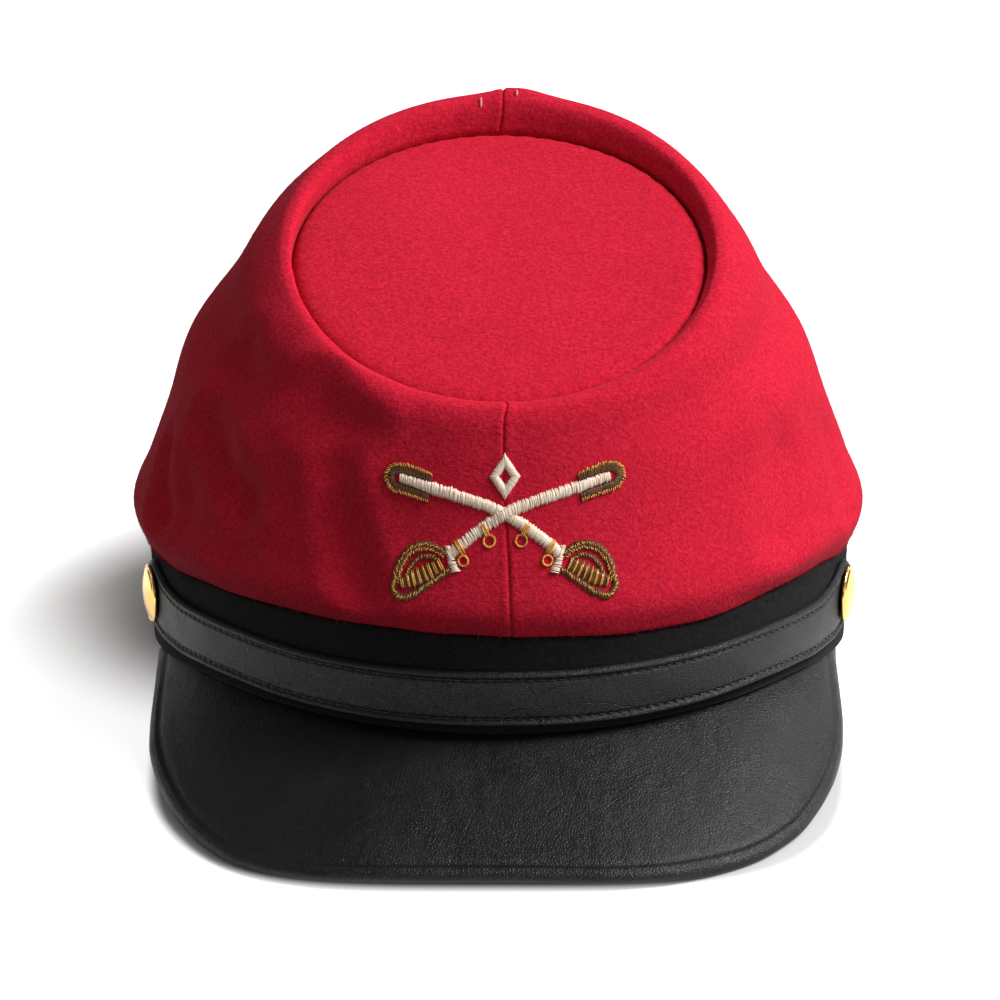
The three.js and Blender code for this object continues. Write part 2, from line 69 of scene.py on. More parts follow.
CROWN_COLUMNS = ("at", "frontY", "frontZ", "backY", "backZ", "halfWidth", "sideLift", "sway")
CROWN_ROWS = {
    "base": (0.0, -98.5, 46.4, 98.5, 26.9, 87.2, 0.0, 0.0),
    "bulge": (0.1, -99.6, 50.7, 101.1, 37.2, 90.5, 2.0, -0.2),
    "lower": (0.24, -96.2, 60.0, 94.9, 56.0, 86.2, -0.5, -0.2),
    "low_mid": (0.38, -92.8, 69.0, 85.0, 76.0, 80.8, -0.7, -0.4),
    "mid": (0.52, -89.4, 78.0, 72.0, 96.0, 75.7, 0.0, -0.6),
    "high": (0.65, -86.2, 86.2, 56.4, 115.0, 66.2, 0.0, -0.3),
    "shoulder": (0.77, -83.6, 91.9, 38.8, 130.4, 60.1, 0.0, 0.1),
    "crest_out": (0.85, -81.6, 93.9, 29.2, 138.3, 55.0, 0.0, 0.8),
    "crest": (0.9, -79.8, 94.4, 24.4, 140.9, 52.3, 0.0, 1.0),
    "crest_in": (0.94, -78.4, 94.2, 20.8, 139.9, 50.7, 0.3, 0.9),
    "roll": (0.97, -77.6, 93.8, 18.9, 137.1, 49.7, 0.8, 0.8),
    "seam": (1.0, -77.1, 93.2, 18.0, 133.2, 49.1, 1.4, 0.1),
}
SEAM_BUMP = {"rise": 1.5, "middleAngle": 176, "halfAngle": 8}
DENT_COLUMNS = ("angle", "at", "depth", "spreadAngle", "spreadAt")
DENTS = {
    "left_fold": (-60, 0.27, 2.0, 5.5, 0.16),
    "left_fold_ridge": (-71, 0.3, -1.1, 5, 0.16),
    "left_front_fold": (-44, 0.2, 1.6, 4.5, 0.14),
    "left_front_ridge": (-36, 0.26, -0.7, 5, 0.14),
    "left_shoulder": (-68, 0.62, 1.2, 16, 0.08),
    "right_shoulder": (72, 0.63, 0.8, 14, 0.07),
    "right_side_hollow": (55, 0.4, 0.7, 14, 0.14),
    "rear_left_hollow": (-140, 0.42, 1.6, 16, 0.16),
    "rear_right_hollow": (148, 0.36, 1.2, 13, 0.14),
}
LINE_COLUMNS = ("angle", "height")
# height of the band's lower edge above the table
RIM_LINE = [
    (0, 21.2),
    (25, 21.2),
    (46, 20.5),
    (60, 18.3),
    (70, 15.4),
    (80, 12.4),
    (90, 9.9),
    (100, 7.6),
    (110, 5.5),
    (120, 3.6),
    (130, 1.9),
    (138, 0.7),
    (145, 0.0),
    (180, 0.0),
]
# height of the band's upper edge
BAND_TOP = [
    (-180, 25.4),
    (-165, 25.4),
    (-150, 25.9),
    (-125, 28.9),
    (-110, 32.1),
    (-90, 36.1),
    (-80, 38.1),
    (-70, 39.8),
    (-57, 42.3),
    (-48, 43.9),
    (-35, 44.9),
    (-25, 45.3),
    (-15, 45.2),
    (-5, 44.9),
    (5, 44.4),
    (15, 43.6),
    (24, 43),
    (31, 42.8),
    (38, 43.2),
    (45, 43.9),
    (52, 44.2),
    (61, 43.1),
    (71, 40.4),
    (80, 38.2),
    (90, 36.1),
    (110, 32.1),
    (125, 28.9),
    (150, 25.9),
    (165, 25.4),
    (180, 25.4),
]
PEAK_COLUMNS = ("angle", "x", "y", "z")
PEAK_EDGE = [
    (-76, -83.9, -23.5, 10.3),
    (-70.8, -83.9, -33.2, 8.8),
    (-67.5, -83.8, -39.3, 7.6),
    (-61, -83.63, -52.26, 5.2),
    (-54.8, -82.92, -65.9, 3.2),
    (-48.5, -80.35, -80.08, 1.6),
    (-44.2, -77.53, -89.73, 0.8),
    (-39.8, -73.8, -99.99, 0.25),
    (-34, -67.56, -112.86, 0),
    (-29, -60.61, -122.52, 0.2),
    (-24.9, -53.15, -128.58, 0.6),
    (-20.5, -44.29, -132.93, 0.95),
    (-16.3, -35.41, -135.19, 1.25),
    (-8.2, -17.73, -136.47, 1.55),
    (0, 0, -136.6, 1.65),
    (10.5, 22.38, -136.25, 1.2),
    (16.8, 35.82, -133.98, 0.7),
    (21.1, 44.9, -130.43, 0.35),
    (26, 54.17, -124.86, 0.05),
    (29, 59.31, -120.42, 0),
    (32, 63.84, -114.88, 0),
    (35.8, 68.77, -107.33, 0.1),
    (39.4, 72.4, -99.19, 0.35),
    (43.6, 75.92, -89.74, 0.9),
    (48, 78.85, -80.09, 1.7),
    (54.3, 81.55, -65.91, 3.2),
    (60.8, 82.64, -52.27, 5.2),
    (67.3, 82.9, -39.3, 7.6),
    (70.4, 83, -33.2, 8.7),
    (76, 83.2, -22.5, 10.3),
]
STRAP_COLUMNS = ("angle", "height", "half")
STRAP_LINE = [
    (0, 30.3, 6.65),
    (15, 30.05, 6.65),
    (30, 30.05, 6.55),
    (42, 30.2, 6.5),
    (52, 29.6, 6.55),
    (60, 28.6, 6.75),
    (66, 28.5, 7.3),
    (70, 29.2, 7.9),
    (72.5, 29.7, 8.1),
    (90, 29.7, 8.1),
]

FRONT_SEAM_BASE, FRONT_SEAM_TOP = 0.033, 0.0125  # radians off centre, at the band and at the top
BACK_SEAM = math.pi

rng = np.random.default_rng(740)


# ---------------------------------------------------------------------------------------------------------------------
# Geometry helpers
# ---------------------------------------------------------------------------------------------------------------------
def column(rows, names, key, name):
    """Shape-preserving cubic through a table's rows, the same one as the CAD's."""
    table = np.array(list(rows.values()) if isinstance(rows, dict) else rows, float)
    x, y = table[:, names.index(key)], table[:, names.index(name)]
    h = np.diff(x)
    d = np.diff(y) / h
    n = len(x)
    m = np.zeros(n)
    m[0], m[-1] = d[0], d[-1]
    for i in range(1, n - 1):
        if d[i - 1] * d[i] > 0:
            a, b = 2 * h[i] + h[i - 1], h[i] + 2 * h[i - 1]
            m[i] = (a + b) / (a / d[i - 1] + b / d[i])

    def f(v):
        c = np.clip(v, x[0], x[-1])
        i = np.clip(np.searchsorted(x, c, side="right") - 1, 0, n - 2)
        t = (c - x[i]) / h[i]
        t2, t3 = t * t, t * t * t
        return y[i] * (2 * t3 - 3 * t2 + 1) + h[i] * m[i] * (t3 - 2 * t2 + t) + y[i + 1] * (3 * t2 - 2 * t3) + h[i] * m[i + 1] * (t3 - t2)

    return f


CROWN = {c: column(CROWN_ROWS, CROWN_COLUMNS, "at", c) for c in CROWN_COLUMNS[1:]}
PEAKX, PEAKY, PEAKZ = (column(PEAK_EDGE, PEAK_COLUMNS, "angle", c) for c in ("x", "y", "z"))
STRAP_HEIGHT = column(STRAP_LINE, STRAP_COLUMNS, "angle", "height")
STRAP_HALF = column(STRAP_LINE, STRAP_COLUMNS, "angle", "half")
RIM = column(RIM_LINE, LINE_COLUMNS, "angle", "height")
TOP = column(BAND_TOP, LINE_COLUMNS, "angle", "height")


def front_share(phi):
    return (1 + np.cos(phi)) / 2


def degrees(phi):
    return np.degrees(np.arctan2(np.sin(phi), np.cos(phi)))


def rim_height(phi):
    return RIM(np.abs(degrees(phi)))


def band_height(phi):
    return TOP(degrees(phi)) - rim_height(phi)


def by_rim(phi, out, above):
    phi, out, above = np.broadcast_arrays(np.asarray(phi, float), np.asarray(out, float), np.asarray(above, float))
    return np.stack([(RIM_HALF_WIDTH + out) * np.sin(phi), -(RIM_HALF_LENGTH + out) * np.cos(phi), rim_height(phi) + above], -1)


def rim_normal(phi):
    n = np.stack([np.sin(phi) / RIM_HALF_WIDTH, -np.cos(phi) / RIM_HALF_LENGTH, np.zeros_like(phi)], -1)
    return n / np.linalg.norm(n, axis=-1, keepdims=True)


def unit(v):
    return v / np.maximum(np.linalg.norm(v, axis=-1, keepdims=True), 1e-12)


# Gentle hand-made unevenness of the felt: many wide, very shallow swells.
_k = np.random.default_rng(11)
SWELLS = [(_k.uniform(-180, 180), _k.uniform(0.05, 0.8), _k.normal(0, 0.22), _k.uniform(5, 12), _k.uniform(0.05, 0.13)) for _ in range(70)]


BASE_FRONT, BASE_BACK = CROWN_ROWS["base"][2], CROWN_ROWS["base"][4]

# Soft slanting folds in the felt, each along a short line: from (angle, at) to (angle, at), depth and width in mm.
FOLD_COLUMNS = ("angle0", "at0", "angle1", "at1", "depth", "width")
FOLDS = {
    "left_side": (-62.0, 0.475, -45.0, 0.345, 2.87, 4.2),
    "left_of_emblem": (-28.5, 0.49, -20.5, 0.155, 1.87, 4.4),
    "left_edge": (-73.0, 0.34, -65.0, 0.17, 2.09, 3.4),
    "left_under_top": (-43.0, 0.75, -29.0, 0.63, 1.55, 6.5),
    "left_upper": (-66.0, 0.66, -55.0, 0.52, 1.33, 5.0),
    "right_side": (58.0, 0.42, 49.0, 0.22, 1.00, 6.0),
    "right_edge": (76.0, 0.34, 70.0, 0.16, 1.10, 4.0),
    "rear_left": (-128.0, 0.50, -143.0, 0.24, 1.77, 6.0),
    "rear_right": (131.0, 0.46, 146.0, 0.22, 1.55, 6.0),
}
DEGREE_MM, AT_MM = 1.5, 75.0


def crown_point(phi, at):
    phi, at = np.broadcast_arrays(np.asarray(phi, float), np.asarray(at, float))
    s = front_share(phi)
    c = {k: f(at) for k, f in CROWN.items()}
    x = c["sway"] + c["halfWidth"] * np.sin(phi)
    y = (c["frontY"] + c["backY"]) / 2 - (c["backY"] - c["frontY"]) / 2 * np.cos(phi)
    z = c["backZ"] + (c["frontZ"] - c["backZ"]) * s + c["sideLift"] * 4 * s * (1 - s)
    deg = degrees(phi)
    z = z + np.maximum(0, 1 - at / 0.2) ** 1.5 * (TOP(deg) + GAP - (BASE_BACK + (BASE_FRONT - BASE_BACK) * s))
    back = degrees(phi - math.radians(SEAM_BUMP["middleAngle"])) / SEAM_BUMP["halfAngle"]
    z = z + SEAM_BUMP["rise"] * np.exp(-back * back) * np.exp(-(((at - 0.9) / 0.05) ** 2))
    for a0, t0, depth, sa, st in list(DENTS.values()) + SWELLS:
        da = (deg - a0 + 180) % 360 - 180
        d = depth * np.exp(-((da / sa) ** 2) - ((at - t0) / st) ** 2)
        x = x - d * np.sin(phi) * 0.92
        y = y + d * np.cos(phi) * 0.92
        z = z - d * 0.3
    for a0, t0, a1, t1, depth, width in FOLDS.values():
        ux, uy = (a1 - a0) * DEGREE_MM, (t1 - t0) * AT_MM
        px, py = ((deg - a0 + 180) % 360 - 180) * DEGREE_MM, (at - t0) * AT_MM
        k = np.clip((px * ux + py * uy) / (ux * ux + uy * uy), 0, 1)
        r = np.hypot(px - k * ux, py - k * uy) / width
        d = depth * (np.exp(-(r**2)) - 0.35 * np.exp(-(((r - 2.0) / 0.8) ** 2)))
        x = x - d * np.sin(phi) * 0.92
        y = y + d * np.cos(phi) * 0.92
        z = z - d * 0.3
    return np.stack([x, y, z], -1)


def crown_normal(phi, at):
    e = 1e-3
    round_ = crown_point(phi + e, at) - crown_point(phi - e, at)
    up = crown_point(phi, np.minimum(at + e, 1)) - crown_point(phi, np.maximum(at - e, 0))
    return unit(np.cross(round_, up))


def seam_angle(at):
    return FRONT_SEAM_BASE + (FRONT_SEAM_TOP - FRONT_SEAM_BASE) * at


def crown_surface(phi, at):
    """The finished outside of the crown: point and normal, with the sewn seams sunk in and the lower edge turned under."""
    p, n = crown_point(phi, at), crown_normal(phi, at)
    hw = CROWN["halfWidth"](at)
    front = (phi - seam_angle(at)) * hw
    back = ((phi % (2 * math.pi)) - BACK_SEAM) * hw
    d = np.zeros_like(front)
    for dist in (front, back):
        d += -0.42 * np.exp(-((dist / 0.30) ** 2)) + 0.10 * np.exp(-(((np.abs(dist) - 1.2) / 0.9) ** 2))
    # the seam of the top draws the foot of the rolled rim into shallow puckers
    pucker = np.exp(-(((1 - at) / 0.04) ** 2)) * (np.sin(phi * 43 + 2.3 * np.sin(phi * 5)) * 0.05 + np.sin(phi * 29 + 1.7 * np.sin(phi * 3) + 2) * 0.06)
    d += pucker
    # lower edge turned under
    t = np.clip(at / 0.022, 0, 1)
    d += -0.7 * (1 - np.sqrt(np.maximum(0, 1 - (1 - t) ** 2)))
    # the felt is drawn in a little where it meets the band, unevenly
    d += 0.18 * np.exp(-((at / 0.05) ** 2)) * np.sin(phi * 23 + np.sin(phi * 5))
    return p + n * d[..., None], n


def to_world(p):
    q = np.array(p, float)
    q[..., 1] += ORIGIN_SHIFT_Y
    return q * MM


def make_mesh(name, verts, faces_list, smooth=True, collection=None):
    """verts (n, 3) in millimetres before the origin shift; faces_list: arrays of (m, k) vertex numbers."""
    verts = to_world(verts)
    me = bpy.data.meshes.new(name)
    loops = np.concatenate([f.reshape(-1) for f in faces_list]).astype(np.int32)
    totals = np.concatenate([np.full(len(f), f.shape[1], np.int32) for f in faces_list])
    starts = np.concatenate([[0], np.cumsum(totals)[:-1]]).astype(np.int32)
    me.vertices.add(len(verts))
    me.vertices.foreach_set("co", verts.reshape(-1).astype(np.float32))
    me.loops.add(len(loops))
    me.loops.foreach_set("vertex_index", loops)
    me.polygons.add(len(totals))
    me.polygons.foreach_set("loop_start", starts)
    me.polygons.foreach_set("use_smooth", np.full(len(totals), smooth, dtype=bool))
    me.update(calc_edges=True)
    me.validate()
    o = bpy.data.objects.new(name, me)
    bpy.context.scene.collection.objects.link(o)
    return o


def grid_faces(nu, nv, wrap_u, wrap_v, base=0, flip=False):
    u = np.arange(nu if wrap_u else nu - 1)
    v = np.arange(nv if wrap_v else nv - 1)
    uu, vv = np.meshgrid(u, v, indexing="ij")
    u2, v2 = (uu + 1) % nu, (vv + 1) % nv
    f = np.stack([uu * nv + vv, u2 * nv + vv, u2 * nv + v2, uu * nv + v2], -1).reshape(-1, 4) + base
    return f[:, ::-1] if flip else f


def signed_volume(verts, faces_list):
    v = 0.0
    for f in faces_list:
        for i in range(1, f.shape[1] - 1):
            a, b, c = verts[f[:, 0]], verts[f[:, i]], verts[f[:, i + 1]]
            v += np.einsum("ij,ij->i", a, np.cross(b, c)).sum()
    return v


def solid(name, verts, faces_list, smooth=True):
    if signed_volume(verts, faces_list) < 0:
        faces_list = [f[:, ::-1] for f in faces_list]
    return make_mesh(name, verts, faces_list, smooth)


# ---------------------------------------------------------------------------------------------------------------------
# Materials
# ---------------------------------------------------------------------------------------------------------------------
class Mat:
    """A small builder of procedural materials around one Principled shader."""

    def __init__(self, name):
        self.m = bpy.data.materials.new(name)
        self.m.use_nodes = True
        self.t = self.m.node_tree
        self.b = self.t.nodes["Principled BSDF"]
        self.co = self.t.nodes.new("ShaderNodeTexCoord").outputs["Object"]

    def link(self, a, b):
        self.t.links.new(a, b)
        return self

    def set(self, **kw):
        for k, v in kw.items():
            self.b.inputs[k.replace("_", " ")].default_value = v
        return self

    def mapped(self, scale=(1, 1, 1), rot=(0, 0, 0), co=None):
        n = self.t.nodes.new("ShaderNodeMapping")
        n.inputs["Scale"].default_value = scale
        n.inputs["Rotation"].default_value = rot
        self.link(co or self.co, n.inputs["Vector"])
        return n.outputs["Vector"]

    def noise(self, scale, detail=3.0, rough=0.55, distort=0.0, co=None, out="Fac"):
        n = self.t.nodes.new("ShaderNodeTexNoise")
        n.inputs["Scale"].default_value = scale
        n.inputs["Detail"].default_value = detail
        n.inputs["Roughness"].default_value = rough
        n.inputs["Distortion"].default_value = distort
        self.link(co or self.co, n.inputs["Vector"])
        return n.outputs[out]

    def voronoi(self, scale, feature="F1", co=None, random=1.0):
        n = self.t.nodes.new("ShaderNodeTexVoronoi")
        n.feature = feature
        n.inputs["Scale"].default_value = scale
        n.inputs["Randomness"].default_value = random
        self.link(co or self.co, n.inputs["Vector"])
        return n.outputs["Distance"]

    def ramp(self, fac, stops):
        n = self.t.nodes.new("ShaderNodeValToRGB")
        e = n.color_ramp.elements
        while len(e) < len(stops):
            e.new(0.5)
        for el, (pos, col) in zip(e, stops):
            el.position = pos
            el.color = (*col, 1) if len(col) == 3 else (col[0],) * 3 + (1,)
        self.link(fac, n.inputs["Fac"])
        return n.outputs["Color"]

    def mix(self, fac, a, b, blend="MIX"):
        n = self.t.nodes.new("ShaderNodeMix")
        n.data_type = "RGBA"
        n.blend_type = blend
        for sock, v in ((n.inputs[0], fac), (n.inputs[6], a), (n.inputs[7], b)):
            if isinstance(v, bpy.types.NodeSocket):
                self.link(v, sock)
            elif isinstance(v, (int, float)):
                sock.default_value = v
            else:
                sock.default_value = (*v, 1)
        return n.outputs[2]

    def math(self, op, a, b=0.0, c=None):
        n = self.t.nodes.new("ShaderNodeMath")
        n.operation = op
        for sock, v in zip(n.inputs, (a, b) if c is None else (a, b, c)):
            if isinstance(v, bpy.types.NodeSocket):
                self.link(v, sock)
            else:
                sock.default_value = v
        return n.outputs[0]

    def remap(self, v, lo, hi, to_lo=0.0, to_hi=1.0):
        n = self.t.nodes.new("ShaderNodeMapRange")
        n.interpolation_type = "SMOOTHSTEP"
        for k, val in (("From Min", lo), ("From Max", hi), ("To Min", to_lo), ("To Max", to_hi)):
            n.inputs[k].default_value = val
        self.link(v, n.inputs["Value"])
        return n.outputs["Result"]

    def bump(self, *layers):
        """layers: (height socket, strength, distance in metres), widest first."""
        prev = None
        for h, strength, dist in layers:
            n = self.t.nodes.new("ShaderNodeBump")
            n.inputs["Strength"].default_value = strength
            n.inputs["Distance"].default_value = dist
            self.link(h, n.inputs["Height"])
            if prev is not None:
                self.link(prev, n.inputs["Normal"])
            prev = n.outputs["Normal"]
        self.link(prev, self.b.inputs["Normal"])
        return self


def fibre_field(m, scale, thin, seeds):
    """Short crossed hairs: stretched noise in several directions, the highest one wins."""
    best = None
    for rot in seeds:
        v = m.noise(scale, 2.0, 0.5, 0.6, m.mapped((1, thin, thin), rot))
        best = v if best is None else m.math("MAXIMUM", best, v)
    return best


def felt_material(name, deep, mid, light, sheen, sheen_tint, strength=1.0):
    m = Mat(name)
    clumps = m.noise(1150, 3.0, 0.6, 0.4)
    hairs = fibre_field(m, 720, 4.0, ((0.3, 0.2, 0.5), (1.2, 0.5, 1.9), (0.4, 1.3, 2.8), (2.1, 0.9, 0.8)))
    wide = m.noise(70, 3, 0.55)
    grain = m.math("ADD", m.math("MULTIPLY", clumps, 0.55), m.math("MULTIPLY", hairs, 0.45))
    col = m.ramp(grain, [(0.36, deep), (0.53, mid), (0.72, light)])
    col = m.mix(m.remap(wide, 0.35, 0.68, 0.0, 0.18), col, tuple(c * 0.84 for c in mid))
    # single pale fibres lying on the surface
    flecks = fibre_field(m, 1500, 6.0, ((0.7, 0.1, 0.2), (1.9, 1.1, 1.4), (0.2, 2.3, 2.2)))
    col = m.mix(m.remap(flecks, 0.66, 0.76, 0.0, 0.45), col, tuple(min(1.0, c * 1.35 + 0.004) for c in light))
    m.link(col, m.b.inputs["Base Color"])
    m.set(Roughness=1.0, Specular_IOR_Level=0.10, Sheen_Weight=sheen, Sheen_Roughness=0.45, Sheen_Tint=(*sheen_tint, 1))
    m.bump((m.noise(210, 2.5, 0.5), 0.22 * strength, 0.0005), (clumps, 0.42 * strength, 0.00035), (hairs, 0.42 * strength, 0.00025))
    return m.m


RED_FELT = felt_material("red_wool_felt", (0.36, 0.005, 0.019), (0.56, 0.0100, 0.033), (0.78, 0.025, 0.060), 0.09, (1.0, 0.20, 0.28), 1.7)
RED_NAP = felt_material("red_wool_nap", (0.50, 0.010, 0.030), (0.66, 0.018, 0.048), (0.80, 0.033, 0.070), 0.12, (1.0, 0.28, 0.36), 0.2)
BLACK_FELT = felt_material("black_wool_felt", (0.0075, 0.0068, 0.0070), (0.0125, 0.0115, 0.0118), (0.024, 0.0215, 0.0215), 0.05, (0.8, 0.8, 0.85))
BLACK_NAP = felt_material("black_wool_nap", (0.009, 0.0082, 0.0084), (0.015, 0.0135, 0.0137), (0.030, 0.027, 0.027), 0.06, (0.8, 0.8, 0.85), 0.2)


def leather_material(name, rough_lo, rough_hi, grain_scale, grain_strength, crease_strength, tint, flow, level, ripple):
    m = Mat(name)
    warp = m.t.nodes.new("ShaderNodeVectorMath")
    warp.operation = "MULTIPLY_ADD"
    m.link(m.noise(420, 2, 0.5, out="Color"), warp.inputs[0])
    warp.inputs[1].default_value = (0.0009, 0.0009, 0.0009)
    m.link(m.co, warp.inputs[2])
    co = warp.outputs[0]
    # fine even pebbles
    pebble = m.remap(m.voronoi(grain_scale, "DISTANCE_TO_EDGE", co), 0.0, 0.30)
    small = m.noise(grain_scale * 1.6, 2.0, 0.5)
    fine = m.math("ADD", m.math("MULTIPLY", pebble, 0.6), m.math("MULTIPLY", small, 0.55))
    # very faint old creases
    warp2 = m.t.nodes.new("ShaderNodeVectorMath")
    warp2.operation = "MULTIPLY_ADD"
    m.link(m.noise(38, 3, 0.6, out="Color"), warp2.inputs[0])
    warp2.inputs[1].default_value = (0.012, 0.012, 0.012)
    m.link(m.co, warp2.inputs[2])
    crack = m.remap(m.voronoi(120, "DISTANCE_TO_EDGE", m.mapped(flow, (0, 0, 0.6), warp2.outputs[0])), 0.0, 0.03)
    gate = m.remap(m.noise(30, 3, 0.6), 0.50, 0.64)
    cracks = m.math("MULTIPLY", m.math("SUBTRACT", 1.0, crack), gate)
    # soft streaks that run slantwise, and broad unevenness
    streaks = m.noise(75, 3.0, 0.55, 0.3, m.mapped((1.0, 0.22, 1.0), (0, 0, -0.75)))
    soft = m.noise(34, 3, 0.55)
    col = m.ramp(m.noise(24, 4, 0.6), [(0.35, tuple(c * 0.8 for c in tint)), (0.6, tint), (0.8, tuple(c * 1.3 for c in tint))])
    m.link(col, m.b.inputs["Base Color"])
    rough = m.math("ADD", m.remap(m.noise(48, 5, 0.65), 0.3, 0.7, rough_lo, rough_hi), m.math("MULTIPLY", small, 0.06))
    m.link(rough, m.b.inputs["Roughness"])
    m.set(Specular_IOR_Level=level)
    m.bump((soft, 0.25, 0.0018), (streaks, ripple, 0.0008), (m.math("SUBTRACT", 1.0, cracks), crease_strength, 0.0004), (fine, grain_strength, 0.0003))
    return m.m


PEAK_LEATHER = leather_material("black_grained_leather", 0.38, 0.50, 1500, 0.42, 0.14, (0.0058, 0.0055, 0.0057), (1.0, 0.45, 0.45), 0.32, 0.75)
STRAP_LEATHER = leather_material("black_strap_leather", 0.36, 0.48, 1700, 0.55, 0.40, (0.0080, 0.0077, 0.0078), (0.6, 1.0, 1.0), 0.31, 0.50)


def thread_material(name, dark, light, rough, metallic=0.0, sheen=0.15):
    m = Mat(name)
    fine = m.noise(2600, 3, 0.6)
    blot = m.noise(420, 3, 0.6)
    col = m.ramp(m.math("ADD", m.math("MULTIPLY", fine, 0.5), m.math("MULTIPLY", blot, 0.5)), [(0.38, dark), (0.62, light)])
    m.link(col, m.b.inputs["Base Color"])
    m.link(m.remap(fine, 0.3, 0.7, rough - 0.08, rough + 0.1), m.b.inputs["Roughness"])
    m.set(Metallic=metallic, Specular_IOR_Level=0.4, Sheen_Weight=sheen, Sheen_Roughness=0.3, Sheen_Tint=(1.0, 0.80, 0.66, 1))
    m.bump((fine, 0.5, 0.00012))
    return m.m


CREAM_THREAD = thread_material("cream_thread", (0.92, 0.70, 0.54), (1.0, 0.87, 0.72), 0.40, 0.0, 0.5)
GOLD_THREAD = thread_material("gold_thread", (0.50, 0.19, 0.024), (0.95, 0.50, 0.10), 0.36, 0.2, 0.0)
BROWN_THREAD = thread_material("brown_thread", (0.052, 0.016, 0.0038), (0.18, 0.062, 0.012), 0.50, 0.0, 0.0)
BLACK_THREAD = thread_material("black_waxed_thread", (0.010, 0.010, 0.010), (0.030, 0.029, 0.028), 0.34, 0.0, 0.0)
SEAM_THREAD = thread_material("red_seam_thread", (0.62, 0.16, 0.15), (0.85, 0.36, 0.34), 0.5)


def gilt_material():
    m = Mat("polished_gilt")
    blot = m.noise(180, 4, 0.6)
    lines = m.noise(900, 3, 0.6, 0.2, m.mapped((1, 9, 1), (0.3, 0.2, 0.6)))
    m.link(m.ramp(blot, [(0.35, (0.86, 0.50, 0.13)), (0.65, (1.0, 0.68, 0.25))]), m.b.inputs["Base Color"])
    m.link(m.math("ADD", m.remap(blot, 0.3, 0.7, 0.10, 0.20), m.math("MULTIPLY", lines, 0.08)), m.b.inputs["Roughness"])
    m.set(Metallic=1.0)
    m.bump((blot, 0.05, 0.0004), (lines, 0.05, 0.00008))
    return m.m


GILT = gilt_material()


def dress(o, material, slot, *nodes):
    o.data.materials.clear()
    o.data.materials.append(material)
    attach(o, "root")
    if nodes:
        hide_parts(*nodes)
    return o


# ---------------------------------------------------------------------------------------------------------------------
# Camera, lights, floor
# ---------------------------------------------------------------------------------------------------------------------
scene = bpy.context.scene
ELEVATION, DISTANCE = math.radians(19.5), 0.930
cam_data = bpy.data.cameras.new("camera")
cam_data.sensor_width = 36.0
cam_data.lens = 134.1
cam_data.clip_start, cam_data.clip_end = 0.05, 50
camera = bpy.data.objects.new("camera", cam_data)
scene.collection.objects.link(camera)
target = Vector((0.00025, ORIGIN_SHIFT_Y * MM, 0.043))
look = Vector((0, math.cos(ELEVATION), -math.sin(ELEVATION)))
camera.location = target - look * DISTANCE
camera.rotation_euler = look.to_track_quat("-Z", "Y").to_euler()
scene.camera = camera

scene.view_settings.view_transform = "Standard"
scene.view_settings.look = "None"
scene.view_settings.exposure = 0.0

world = bpy.data.worlds.new("studio")
scene.world = world
world.use_nodes = True
world.node_tree.nodes["Background"].inputs["Color"].default_value = (1.0, 0.94, 0.87, 1)
world.node_tree.nodes["Background"].inputs["Strength"].default_value = 0.145


def softbox(name, direction, distance, size, power, color=(1, 1, 1)):
    d = bpy.data.lights.new(name, "AREA")
    d.shape = "RECTANGLE"
    d.size, d.size_y = size
    d.energy = power
    d.color = color
    o = bpy.data.objects.new(name, d)
    v = Vector(direction).normalized()
    o.location = Vector((0, 0, 0.06)) + v * distance
    o.rotation_euler = (-v).to_track_quat("-Z", "Y").to_euler()
    scene.collection.objects.link(o)
    return o


softbox("key", (0.72, 0.0, 0.69), 4.2, (2.0, 2.0), 258)
softbox("back_strip", (0.42, 0.70, 0.58), 2.4, (1.0, 0.4), 9)
softbox("left_strip", (-0.85, 0.15, 0.5), 2.2, (0.5, 1.2), 3)
softbox("front_fill", (0.45, -0.80, 0.42), 2.4, (0.8, 0.8), 5)
softbox("front_right_strip", (0.48, -0.36, 0.78), 2.6, (0.35, 0.35), 6)

floor = make_mesh("studio_floor", np.array([[-4000, -4000, 0], [4000, -4000, 0], [4000, 4000, 0], [-4000, 4000, 0]], float), [np.array([[0, 1, 2, 3]])], False)
floor_mat = Mat("floor_white_painted_shadow")
# a white sheet that glows, with a painted shadow in its glow: the glow is cut to almost nothing right around the cap
# and lowered softly to its left and behind it, where the cap's shadow falls
away = floor_mat.t.nodes.new("ShaderNodeSeparateXYZ")
floor_mat.link(floor_mat.co, away.inputs[0])


def oval(cx, cy, rx, ry, power):
    """1 on the outline of a rounded oval on the floor, less inside."""
    terms = []
    for i, c_, r_ in ((0, cx, rx), (1, cy, ry)):
        terms.append(floor_mat.math("POWER", floor_mat.math("ABSOLUTE", floor_mat.math("MULTIPLY_ADD", away.outputs[i], 1 / r_, -c_ / r_)), power))
    return floor_mat.math("POWER", floor_mat.math("ADD", *terms), 1 / power)
